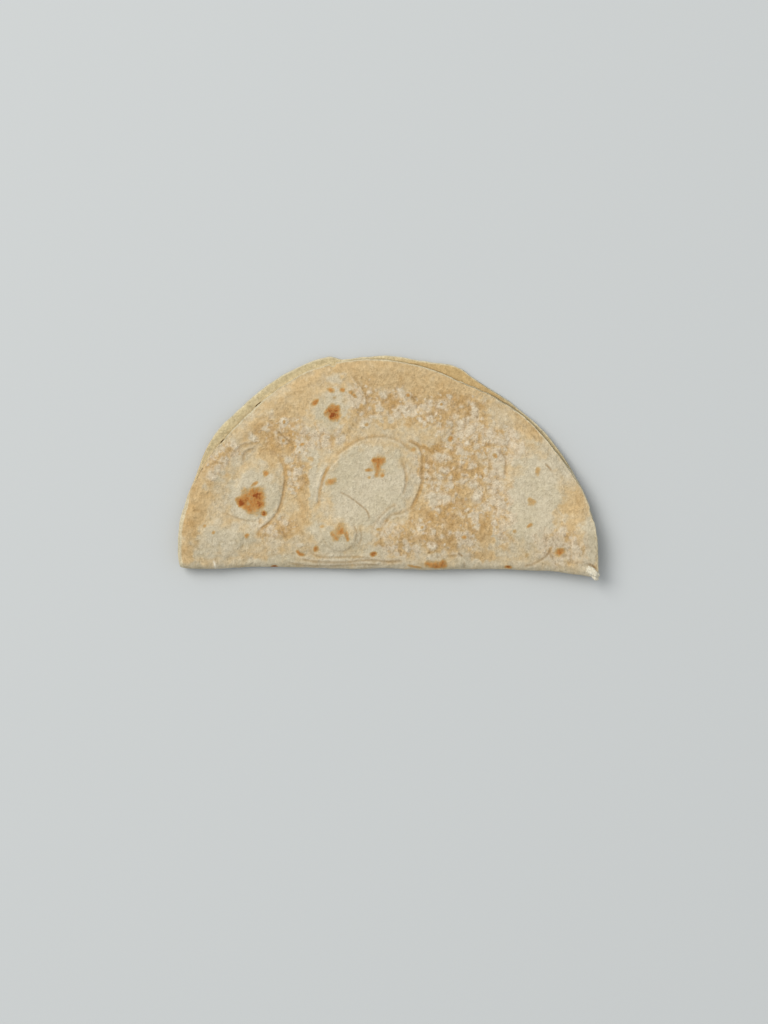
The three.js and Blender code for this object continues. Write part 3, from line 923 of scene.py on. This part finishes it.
    def _from_route(self, route: Field, u: Field, s: Field) -> tuple[Field, Field, float]:
        """Distances of points from a route.

        Args:
            route: The route's points.
            u: The points' places along the fold.
            s: Their places across it.

        Returns:
            Distances to the route, positive on its left; how far along it the nearest place is; and its length.
        """
        start, step = route[:-1], np.diff(route, axis=0)
        length = np.hypot(step[:, 0], step[:, 1])
        begin = np.concatenate([[0.0], np.cumsum(length)])
        du, ds = u[:, None] - start[None, :, 0], s[:, None] - start[None, :, 1]
        share = np.clip((du * step[:, 0] + ds * step[:, 1]) / length**2, 0.0, 1.0)
        off = np.hypot(du - share * step[:, 0], ds - share * step[:, 1])
        nearest = off.argmin(axis=1)
        pick = np.arange(len(u)), nearest
        left = step[nearest, 0] * ds[pick] - step[nearest, 1] * du[pick]
        along = begin[nearest] + share[pick] * length[nearest]
        return off[pick] * np.where(left < 0, -1.0, 1.0), along, float(begin[-1])

    def relief(self) -> Field:
        """Height of the low relief on the outer face, in millimetres: bubbles, creases, pleats and unevenness."""
        rolling = 0.2 * self._noise(Draw.ROLLING, 9.0) + (0.1 + 0.1 * self.mottle) * self._noise(Draw.LUMPS, 2.8)
        pleats = 0.26 * LatticeNoise(Draw.PLEATS).layered(0.28 * self.u, self.s, 2.4, 2) * ease((15.0 - self.s) / 9.0)
        groove = (self.line_on * (1.0 - np.abs(self.line_at) / 1.4).clip(0.0)).max(axis=1)
        height = self.dome + rolling + pleats + 0.45 * self.ridge.clip(0.0) - 0.26 * groove - 0.12 * self.scorch
        flat_below = 1.0 - ease((-self.s - 1.0) / 3.5)
        return height * flat_below * ease(self.to_rim / 1.4)

    def folded(self) -> Field:
        """The points' folded places in millimetres, with the rim's crumbs and the low relief."""
        out = self.rim_steps() - np.where(self.to_rim < 1e-6, self.form.rim_nose * self.side**2, 0.0)
        grown = 1.0 + out / np.hypot(self.u, self.s).clip(1e-6)
        return self.form.folded(self.u * grown, self.s * grown, self.to_rim, self.side, self.relief())

    def _rim_rough(self, turn: Field, side: Field | float) -> Field:
        """How far the rim's crumbs stand out at turns about the sheet's middle, in radians."""
        return 0.34 * LatticeNoise(Draw.RIM).layered(turn * self.form.disc_radius, 3.0 * side, 5.5, 4)

    def _rim_step(self) -> Field:
        """How far the upper rim draws back at the points' bearings."""
        angle = self.form.bearing(self.u, self.s)
        return sum(back * ease((1.4 - np.abs(angle - at) / half) / 0.8) for at, half, back in RIM_STEPS)

    def rim_steps(self) -> Field:
        """How far the rim's crumbs and steps stand out past a smooth rim, in millimetres."""
        rough = self._rim_rough(np.arctan2(self.s, self.u), self.side) * ease(1.0 - self.to_rim / 3.2)
        step = np.where(self.s > 0, self._rim_step() * ease(1.0 - self.to_rim / 5.0), 0.0)
        return (rough - step) * ease(np.abs(self.s) / 10.0)

    def slit(self) -> tuple[Field, Field, Field]:
        """The slit between the two leaves, seen on the lower one.

        Returns:
            How far each point is past the upper rim, in millimetres, how dark the painted shadow in the slit is
            at its bearing, and how much painted shade darkens the leaf beside it there.
        """
        angle = self.form.bearing(self.u, self.s)
        rough = self._rim_rough(np.radians(angle), -1.0)
        upper_rim = self.form.rim_radius(angle, Leaf.UPPER) + rough - self._rim_step()
        past = np.hypot(self.u, self.s) - upper_rim
        dark = sum(share * span.at(angle) for span, share in SLIT)
        strip = STRIP_SHADE * SHADED_STRIP.at(angle)
        below = self.s < 0
        return past.clip(-SLIT_FAR, SLIT_FAR), np.where(below, dark, 0.0), np.where(below, strip, 0.0)

    def ochre(self) -> Field:
        """How ochre the inner face is at each point, from 0 to 1."""
        return Span(48, 96, 12, 20).at(self.form.bearing(self.u, self.s)) * np.where(self.s < 0, 1.0, 0.4)

    def cut(self) -> Field:
        """How much of the pale cut rim shows at each point, from 0 to 1. It is widest on the fold's left end."""
        angle = self.form.bearing(self.u, self.s)
        left_end = ease((angle - 156.0) / 10.0)
        wide = ease((lerp(1.2, 2.5, left_end) - self.to_rim) / lerp(0.9, 0.7, left_end))
        return wide * lerp(0.9, 1.0, left_end) * (1.0 - 0.85 * Span(142, 162, 4, 5).at(angle))


# ---- Shader graphs ----


def _maths(operation: str) -> tuple[Callable[[Wire, Any], Wire], Callable[[Wire, Any], Wire]]:
    """An operator's two methods for Wire.

    Args:
        operation: What its Math node does.

    Returns:
        The method with the wire on the operator's left, and the reflected one, with the wire on its right.
    """

    def forward(self: Wire, other: Any) -> Wire:
        """The wire, then the other value."""
        return self.math(operation, self, other)

    def reflected(self: Wire, other: Any) -> Wire:
        """The other value, then the wire."""
        return self.math(operation, other, self)

    return forward, reflected


class Wire:
    """A node's output. Python's operators on it add Math nodes."""

    def __init__(self, graph: NodeGraph, socket: bpy.types.NodeSocket | None) -> None:
        """Keeps the graph and the socket, which a node without outputs lacks."""
        self.graph = graph
        self.socket = socket

    def math(self, operation: str, first: Any, second: Any = None) -> Wire:
        """Adds a Math node on one or two values."""
        inputs = {0: first} if second is None else {0: first, 1: second}
        return self.graph.node("ShaderNodeMath", {"operation": operation}, inputs)

    __add__, __radd__ = _maths("ADD")
    __sub__, __rsub__ = _maths("SUBTRACT")
    __mul__, __rmul__ = _maths("MULTIPLY")

    def __neg__(self) -> Wire:
        """-self."""
        return self.math("MULTIPLY", self, -1.0)

    def __abs__(self) -> Wire:
        """The value without its sign."""
        return self.math("ABSOLUTE", self)

    def beside(self, name: str) -> Wire:
        """Another output of the same node."""
        return Wire(self.graph, self.socket.node.outputs[name])

    def most(self, other: Wire | float) -> Wire:
        """The larger of two values."""
        return self.math("MAXIMUM", self, other)

    def smooth(self, low: Wire | float, high: Wire | float) -> Wire:
        """0 where the value is below low, 1 where it is above high, and smooth in between."""
        return self.graph.node(
            "ShaderNodeMapRange",
            {"interpolation_type": "SMOOTHSTEP"},
            {"Value": self, "From Min": low, "From Max": high},
            "Result",
        )


class NodeGraph:
    """A material's node tree, with one way to add any node."""

    def __init__(self, name: str) -> None:
        """Makes an empty material of that name."""
        self.material = bpy.data.materials.new(name)
        self.material.use_nodes = True
        self.tree = self.material.node_tree
        self.tree.nodes.clear()

    def node(
        self,
        kind: str,
        settings: dict[str, Any] | None = None,
        inputs: dict[str | int, Any] | None = None,
        output: str | int = 0,
    ) -> Wire:
        """Adds a node.

        Args:
            kind: Its Blender type.
            settings: Its own properties, which are set first.
            inputs: Values or wires for its inputs, by identifier, name or place.
            output: Which of its outputs to return.

        Returns:
            That output.
        """
        node = self.tree.nodes.new(kind)
        for key, value in (settings or {}).items():
            setattr(node, key, value)
        for key, value in (inputs or {}).items():
            socket = self._socket(node.inputs, key)
            if isinstance(value, Wire):
                self.tree.links.new(value.socket, socket)
            else:
                socket.default_value = value
        return Wire(self, self._socket(node.outputs, output) if len(node.outputs) else None)

    def _socket(self, sockets: Any, key: str | int) -> bpy.types.NodeSocket:
        """The socket of that identifier, name or place."""
        if isinstance(key, int):
            return sockets[key]
        return next((x for x in sockets if x.identifier == key), None) or sockets[key]

    def attribute(self, name: str, output: str = "Fac") -> Wire:
        """A named attribute of the mesh."""
        return self.node("ShaderNodeAttribute", {"attribute_name": name}, output=output)

    def mix(self, low: Wire | Colour, high: Wire | Colour, factor: Wire | float, blend: str = "MIX") -> Wire:
        """A colour between two, by a factor."""
        return self.node(
            "ShaderNodeMix",
            {"data_type": "RGBA", "blend_type": blend, "clamp_factor": True},
            {"Factor_Float": factor, "A_Color": low, "B_Color": high},
            "Result_Color",
        )

    def vector(self, operation: str, *values: Any) -> Wire:
        """Vector maths on two or three vectors."""
        return self.node("ShaderNodeVectorMath", {"operation": operation}, dict(enumerate(values)))

    def noise(self, at: Wire, size: float, detail: float = 2.0, roughness: float = 0.5) -> Wire:
        """Noise with features of a given size in millimetres, mostly from -1 to 1."""
        found = self.node(
            "ShaderNodeTexNoise",
            {"noise_dimensions": "3D"},
            {"Vector": at, "Scale": 1.0 / size, "Detail": detail, "Roughness": roughness},
        )
        return (found - 0.5) * 4.0

    def cells(self, at: Wire, size: float) -> tuple[Wire, Wire]:
        """The distance to the nearest of scattered points, as a share of their spacing, and its own random number."""
        inputs = {"Vector": at, "Scale": 1.0 / size}
        near = self.node("ShaderNodeTexVoronoi", {"voronoi_dimensions": "2D"}, inputs, "Distance")
        return near, self.node("ShaderNodeSeparateColor", {}, {"Color": near.beside("Color")}, "Red")

    def parts(self, of: Wire) -> Wire:
        """The first of a vector's three parts, with the others beside it."""
        return self.node("ShaderNodeSeparateXYZ", {}, {"Vector": of}, "X")

    def shader(self, inputs: dict[str, Any]) -> bpy.types.Material:
        """The finished material, with a Principled shader of those inputs."""
        surface = self.node("ShaderNodeBsdfPrincipled", {}, inputs)
        self.node("ShaderNodeOutputMaterial", {}, {"Surface": surface})
        return self.material


@dataclass(frozen=True)
class DoughFinish:
    """The look of the baked dough: its colours, as they read in soft daylight, and the sizes of its grain."""

    pale: Colour = tint(208, 194, 165)
    pale_grey: Colour = tint(200, 186, 154)
    peach: Colour = tint(211, 190, 158)
    flour: Colour = tint(216, 201, 173)
    tan: Colour = tint(206, 177, 130)
    deep_tan: Colour = tint(185, 147, 92)
    pit: Colour = tint(176, 142, 98)
    bran: Colour = tint(166, 136, 98)
    scorch_edge: Colour = tint(193, 162, 112)
    scorch: Colour = tint(188, 132, 69)
    scorch_core: Colour = tint(143, 74, 27)
    # The creases' dark, partly painted shade in the grooves.
    crease: Colour = tint(152, 121, 78)
    inner: Colour = tint(212, 192, 147)
    inner_ochre: Colour = tint(201, 170, 117)
    cut: Colour = tint(216, 204, 171)
    crumb: Colour = tint(242, 235, 215)
    # The dark of the painted shadow in the slit, and of the painted shade on the strip beside it.
    gap: Colour = tint(96, 72, 36)
    slot: str = "baked_dough"

    def material(self) -> bpy.types.Material:
        """The dough's material.

        Returns:
            A material that reads the sheet's own map and attributes.
        """
        g = NodeGraph(self.slot)
        side, tone, mottle = g.attribute("side"), g.attribute("toast"), g.attribute("mottle")
        puff, ridge = g.attribute("puff"), g.attribute("ridge")
        sheet = g.node("ShaderNodeUVMap", {"uv_map": SHEET_MAP})
        layer = g.node("ShaderNodeCombineXYZ", inputs={"Z": side * 3.0})
        at = g.vector("ADD", sheet, layer)

        # Unevenness, from the broadest to the finest.
        broad = g.noise(at, 24.0, 1.0)
        cloud = g.noise(at, 6.0, 3.0, 0.5)
        fine = g.noise(at, 2.1, 2.0, 0.5)
        grain = g.noise(at, 0.85, 2.0, 0.6)
        crinkle = abs(g.noise(at, 3.4, 2.0, 0.55))
        wander = g.node("ShaderNodeCombineXYZ", inputs={"X": fine * 0.4 + cloud * 0.6, "Y": broad * 0.6 - fine * 0.4})
        warped = g.vector("ADD", at, wander)

        # What the dough is like at each place.
        clump = g.noise(g.vector("ADD", at, (40.0, 9.0, 0.0)), 8.0, 1.0)
        lumps = self._lumps(g, warped, 1.25 - tone * 0.7 + clump * 0.35) * (mottle * 0.85 + 0.15)
        between = g.cells(warped, 3.2)[0].smooth(0.4, 0.86) * (1.0 - lumps * 0.7)
        is_puff = (puff + fine * 0.2 + cloud * 0.08).smooth(-0.2, 0.7)
        toasted = tone + cloud * (mottle * 0.12 + 0.19) + broad * 0.08 + fine * 0.02 + mottle * 0.06 - lumps * 0.4
        toasted = (toasted - 0.53) * (mottle * 0.6 + 1.3) + 0.53
        is_tan = toasted.smooth(0.14, 0.92) * (1.0 - is_puff * 0.85)

        # The outer face.
        pale = g.mix(self.pale, self.pale_grey, (broad * 0.5 + cloud * 0.3 + 0.4).smooth(0.0, 1.0))
        tan = g.mix(self.tan, self.deep_tan, (tone * 0.7 + cloud * 0.3 + mottle * 0.35).smooth(0.45, 1.25))
        pale = g.mix(pale, self.peach, mottle * 0.75)
        colour = g.mix(pale, tan, is_tan)
        colour = g.mix(colour, self.flour, is_puff * 0.58 + lumps * 0.36)
        colour = g.mix(colour, self.pit, between * (mottle * 0.44 + 0.06) * (1.0 + clump * 0.3))
        colour = g.mix(colour, self.pit, is_puff * (1.0 - is_puff) * (mottle * 0.35 + 0.3))
        colour = g.mix(colour, self.bran, self._bran(g, at) * 0.15)
        # Pale ridges, partly painted highlight; tan bands and dark grooves, partly painted shade.
        colour = g.mix(colour, self.flour, (ridge + fine * 0.08).smooth(0.05, 0.9) * 0.5)
        colour = g.mix(colour, self.deep_tan, (-ridge + fine * 0.08).smooth(0.0, 0.9) * (cloud * 0.35 + 0.7))
        colour = g.mix(colour, self.crumb, ridge.smooth(1.0, 1.4) * 0.66)
        groove = self._groove(g, fine, cloud)
        colour = g.mix(colour, self.crease, groove * 0.95)
        colour = self._scorched(g, colour, fine, grain)

        # The inner face, the painted shadow in the slit between the leaves, the painted shade on the strip beside
        # it, and the cut rim.
        inside = (-side).smooth(0.55, 0.95)
        ochre = (g.attribute("ochre") + cloud * 0.15).smooth(0.1, 0.9)
        within = g.mix(self.inner, self.pale, (cloud * 0.4 + 0.3).smooth(0.2, 1.0) * 0.4)
        colour = g.mix(colour, g.mix(within, self.inner_ochre, ochre), inside)
        past = g.attribute("past")
        slit = (0.8 - abs(past - 0.3) + fine * 0.1).smooth(0.1, 0.65) * (1.0 + fine * 0.5)
        strip = (3.8 - abs(past)).smooth(0.0, 1.6) * g.attribute("strip") * (0.8 + cloud * 0.5)
        # Painted shadow in the slit, and painted shade on the lower leaf's strip beside it.
        colour = g.mix(colour, self.gap, (slit * g.attribute("slit")).most(strip) * inside)
        colour = g.mix(colour, self.cut, (g.attribute("cut") + fine * 0.12).smooth(0.05, 0.95) * 0.75)

        # Grain, and painted shade along the fold and over the right half with painted light at the right end, which
        # multiply the colour.
        along = g.parts(sheet)
        # Painted shade in a band along the fold, on the outer face.
        painted_fold_shade = (-abs(along.beside("Y") - 12.5)).smooth(-13.0, -4.0) * side.smooth(0.5, 1.0)
        # Painted shade over the right half, turning to painted light at its far end.
        painted_end_shading = along.smooth(50.0, 85.0) * 0.02 - along.smooth(92.0, 122.0) * 0.055
        flicker = grain * (mottle * 0.07 + 0.15) + (fine + crinkle) * (tone * 0.08 + mottle * 0.03 + 0.1)
        light = cloud * tone * 0.025 - painted_fold_shade * 0.11 - painted_end_shading + 0.95
        channels = {"Red": flicker * 0.92 + light, "Green": flicker + light, "Blue": flicker * 1.16 + light}
        shade = g.node("ShaderNodeCombineColor", inputs=channels)
        colour = g.mix(colour, shade, 1.0, "MULTIPLY")

        # The finest relief, in millimetres.
        rough = fine * 0.15 + grain * 0.08 + crinkle * 0.2
        height = rough + is_puff * 0.08 + lumps * 0.17 - between * (mottle * 0.16 + 0.04) - groove * 0.1
        height = height * (1.0 - inside * 0.75)
        bump = g.node("ShaderNodeBump", {}, {"Strength": 1.0, "Distance": MM, "Height": height}, "Normal")
        return g.shader(
            {"Base Color": colour, "Roughness": 0.9 - is_tan * 0.14, "Normal": bump, "Specular IOR Level": 0.25}
        )

    def _lumps(self, g: NodeGraph, at: Wire, spread: Wire) -> Wire:
        """Small raised lumps that stayed pale, of three sizes: 1 inside them.

        Args:
            g: The graph.
            at: Where to look.
            spread: How large they are, about 1.

        Returns:
            How far each point is inside one, from 0 to 1.
        """
        found = None
        for size, strength in ((8.8, 0.9), (5.4, 0.95), (3.2, 0.6)):
            near, number = g.cells(g.vector("ADD", at, (size, 0.0, 0.0)), size)
            inside = (number * spread * 0.52 - near).smooth(-0.2, 0.34) * strength
            found = inside if found is None else found.most(inside)
        return found

    def _bran(self, g: NodeGraph, at: Wire) -> Wire:
        """Specks of bran: 1 inside them."""
        near, number = g.cells(at, 1.5)
        return (number * 0.36 - 0.1 - near).smooth(-0.06, 0.06)

    def _groove(self, g: NodeGraph, fine: Wire, cloud: Wire) -> Wire:
        """The creases' narrow grooves, which come and go a little: 1 in their middle."""
        away, on = (g.parts(g.attribute(name, "Vector")) for name in ("line_at", "line_on"))
        first, second, third = (
            (1.0 - abs(away.beside(axis) + fine * 0.14)).smooth(-0.1, 1.0) * on.beside(axis) for axis in "XYZ"
        )
        return first.most(second).most(third) * (0.9 + fine * 0.35 + cloud * 0.35).most(0.15)

    def _scorched(self, g: NodeGraph, colour: Wire, fine: Wire, grain: Wire) -> Wire:
        """The colour with the brown spots on it.

        Args:
            g: The graph.
            colour: The dough's colour.
            fine: Fine noise, which makes the spots uneven.
            grain: Finer noise.

        Returns:
            The colour.
        """
        depth = g.attribute("scorch") * (1.0 + fine * 0.44 + grain * 0.24)
        colour = g.mix(colour, self.scorch_edge, depth.smooth(0.02, 0.3))
        colour = g.mix(colour, self.scorch, depth.smooth(0.22, 0.62))
        return g.mix(colour, self.scorch_core, depth.smooth(0.58, 1.0))


# ---- The tortilla ----


@dataclass
class Tortilla:
    """The folded sheet and the torn lip on its fold's right end, as one piece.

    Attributes:
        form: The sheet's form.
        plan: How the picture lies over it.
        finish: The dough's look.
        cells: Cells of the sheet's first grid, each way.
        cuts: Cuts of a cell's edge where the sheet shows.
        rim_cuts: Cuts across the rim.
        crowding: How near the fold the cells crowd, as a share of the sheet's half width.
        past_fold: How far below the fold the outer face still shows, as such a share.
        rim_shows: From how far out the lower leaf's inner face shows, as such a share.
        lip: The torn lip.
        apart: How far to the side the lip's ball is kept until it gets its place.
    """

    form: SheetForm = field(default_factory=SheetForm)
    plan: PlanView = field(default_factory=PlanView)
    finish: DoughFinish = field(default_factory=DoughFinish)
    cells: int = 84
    cuts: int = 3
    rim_cuts: int = 3
    crowding: float = 0.10
    past_fold: float = 0.075
    rim_shows: float = 0.89
    lip: TornLip = field(default_factory=TornLip)
    apart: float = 10.0
    name: str = "baked_tortilla"

    def build(self) -> bpy.types.Object:
        """Makes the piece.

        Returns:
            The finished object, at the origin.
        """
        mesh = self._flat_sheet()
        self._shape(mesh)
        mesh.materials.append(self.finish.material())
        mesh.shade_smooth()
        return placed(self.name, mesh)

    def _flat_sheet(self) -> bpy.types.Mesh:
        """The sheet before it is stretched and folded: a thin square box, fine where it will show."""
        bm = bmesh.new()
        bmesh.ops.create_grid(bm, x_segments=self.cells, y_segments=self.cells, size=1.0)
        for vert in bm.verts:
            vert.co.y *= self._crowded(abs(vert.co.y)) / self._crowded(1.0)
        raised = bmesh.ops.extrude_face_region(bm, geom=bm.faces[:])
        top = [x for x in raised["geom"] if isinstance(x, bmesh.types.BMVert)]
        bmesh.ops.translate(bm, vec=(0.0, 0.0, -1.0), verts=bm.verts[:])
        bmesh.ops.translate(bm, vec=(0.0, 0.0, 2.0), verts=top)
        upright = [edge for edge in bm.edges if self._rise(edge) > 1.0]
        bmesh.ops.subdivide_edges(bm, edges=upright, cuts=self.rim_cuts)
        showing = {face for face in bm.faces if self._shows(face)}
        shown = [edge for edge in bm.edges if self._rise(edge) < 0.1 and not showing.isdisjoint(edge.link_faces)]
        bmesh.ops.subdivide_edges(bm, edges=shown, cuts=self.cuts, use_grid_fill=True)
        ball = bmesh.ops.create_icosphere(bm, subdivisions=self.lip.fineness, radius=1.0)
        bmesh.ops.translate(bm, vec=(self.apart, 0.0, 0.0), verts=ball["verts"])
        bmesh.ops.recalc_face_normals(bm, faces=bm.faces[:])
        mesh = bpy.data.meshes.new(self.name)
        bm.to_mesh(mesh)
        bm.free()
        return mesh

    def _crowded(self, far: float) -> float:
        """The share of its distance from the fold that a row of cells keeps."""
        return (far + self.crowding / 2.0) / (far + self.crowding)

    def _rise(self, edge: bmesh.types.BMEdge) -> float:
        """The difference in height between an edge's two ends."""
        return abs(edge.verts[0].co.z - edge.verts[1].co.z)

    def _shows(self, face: bmesh.types.BMFace) -> bool:
        """Whether a face of the flat sheet will show, or is on the rim."""
        x, y, z = face.calc_center_median()
        if abs(z) < 0.99:  # between the two faces, so on the rim
            return True
        if z > 0:
            return y > -self.past_fold
        return y < 0 and math.hypot(*on_disc(x, y)) > self.rim_shows

    def _shape(self, mesh: bpy.types.Mesh) -> None:
        """Folds the sheet, puts the lip on it and gives both their map and what their material reads."""
        flat = np.empty(len(mesh.vertices) * 3)
        mesh.vertices.foreach_get("co", flat)
        flat = flat.reshape(-1, 3)
        on_lip = flat[:, 0] > self.apart / 2.0
        ball = flat[on_lip] - (self.apart, 0.0, 0.0)
        a, b, side = flat[~on_lip].T
        u, s, to_rim = self.form.stretched(a, b)
        surface = BakedSurface(self.form, self.plan, u, s, side, to_rim.clip(0.0))
        flat[~on_lip] = surface.folded()
        flat[on_lip] = self.lip.shaped(self.form, ball)
        mesh.vertices.foreach_set("co", (flat * MM).ravel())
        self._paint(mesh, surface, on_lip)
        places = np.empty((len(flat), 2), np.float32)
        places[~on_lip] = np.stack([u, s], axis=1)
        places[on_lip] = ball[:, :2] * 4.0 + (self.lip.u + 12.0, 0.0) + ball[:, 2:] * (3.0, 3.0)
        corner = np.empty(len(mesh.loops), np.int32)
        mesh.loops.foreach_get("vertex_index", corner)
        mesh.uv_layers.new(name=SHEET_MAP).uv.foreach_set("vector", places[corner].ravel())
        mesh.update()

    def _paint(self, mesh: bpy.types.Mesh, surface: BakedSurface, on_lip: Field) -> None:
        """Stores what the material reads at each point.

        Args:
            mesh: The piece's mesh.
            surface: What baking did to the sheet.
            on_lip: Which of the mesh's points are the lip's.
        """
        past, slit, strip = surface.slit()
        painted = {
            "side": (surface.side, 1.0),
            "toast": (surface.tone, 0.05),
            "puff": (surface.puff, 1.0),
            "mottle": (surface.mottle, 0.3),
            "ridge": (surface.ridge, 1.6),
            "scorch": (surface.scorch, 0.0),
            "cut": (surface.cut(), 0.4),
            "ochre": (surface.ochre(), 0.0),
            "past": (past, SLIT_FAR),
            "slit": (slit, 0.0),
            "strip": (strip, 0.0),
            "line_at": (surface.line_at, surface.line_far),
            "line_on": (surface.line_on, 0.0),
        }
        for name, (of_sheet, of_lip) in painted.items():
            values = np.full((len(on_lip), *of_sheet.shape[1:]), of_lip, np.float32)
            values[~on_lip] = of_sheet
            kind, key = ("FLOAT", "value") if of_sheet.ndim == 1 else ("FLOAT_VECTOR", "vector")
            mesh.attributes.new(name, kind, "POINT").data.foreach_set(key, values.ravel())


# ---- The stage ----


@dataclass(frozen=True)
class Studio:
    """A plain pale floor, soft light from the left and a camera straight above."""

    plan: PlanView = field(default_factory=PlanView)
    floor_colour: Colour = tint(203, 205, 204)
    floor_half: float = 4.0
    floor_drop: float = 0.0001
    sensor: float = 36.0
    distance: float = 2.0
    focus_height: float = 0.006
    window_size: float = 3.4
    window_place: tuple[float, float, float] = (-2.7, 1.9, 3.9)
    window_power: float = 190.0
    window_tint: tuple[float, float, float] = (1.0, 0.99, 0.975)
    sky: Colour = (0.93, 0.97, 1.0, 1.0)
    sky_strength: float = 0.56

    def build(self) -> None:
        """Makes the floor, the light, the sky and the camera."""
        self._floor()
        self._light()
        self._camera()
        bpy.context.scene.view_settings.view_transform = "Standard"

    def _floor(self) -> None:
        """The floor that the tortilla lies on."""
        mesh = bpy.data.meshes.new("floor")
        bm = bmesh.new()
        bmesh.ops.create_grid(bm, x_segments=1, y_segments=1, size=self.floor_half)
        bmesh.ops.translate(bm, vec=(0.0, 0.0, -self.floor_drop), verts=bm.verts[:])
        bm.to_mesh(mesh)
        bm.free()
        look = {"Base Color": self.floor_colour, "Roughness": 0.9, "Specular IOR Level": 0.1}
        mesh.materials.append(NodeGraph("floor").shader(look))
        floor = placed("floor", mesh)

    def _light(self) -> None:
        """A large soft window on the left, and an even sky."""
        lamp = bpy.data.lights.new("window", "AREA")
        lamp.shape, lamp.size = "SQUARE", self.window_size
        lamp.energy, lamp.color = self.window_power, self.window_tint
        window = placed("window", lamp)
        window.location = self.window_place
        window.rotation_euler = (-Vector(self.window_place)).to_track_quat("-Z", "Y").to_euler()
        world = bpy.data.worlds.new("sky")
        world.use_nodes = True
        background = next(n for n in world.node_tree.nodes if n.type == "BACKGROUND")
        background.inputs["Color"].default_value = self.sky
        background.inputs["Strength"].default_value = self.sky_strength
        bpy.context.scene.world = world

    def _camera(self) -> None:
        """A long lens straight above the middle of the picture."""
        lens = bpy.data.cameras.new("camera")
        lens.sensor_fit, lens.sensor_height = "VERTICAL", self.sensor
        lens.lens = self.sensor * self.distance / (self.plan.high * self.plan.mm_per_pixel * MM)
        camera = placed("camera", lens)
        camera.location = (self.plan.middle_x * MM, self.plan.middle_y * MM, self.focus_height + self.distance)
        bpy.context.scene.camera = camera


def main() -> None:
    """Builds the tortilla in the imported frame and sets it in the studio."""
    logging.basicConfig(level=logging.INFO, format="%(name)s: %(message)s")
    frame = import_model()
    body = next(iter(frame["bodies"]))
    tortilla = Tortilla()
    piece = tortilla.build()
    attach(piece, body)
    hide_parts("tortilla")
    triangles = sum(len(p.vertices) - 2 for p in piece.data.polygons)
    LOG.info("%s: %d triangles on body %s", piece.name, triangles, body)
    Studio().build()


if __name__ == "__main__":
    main()
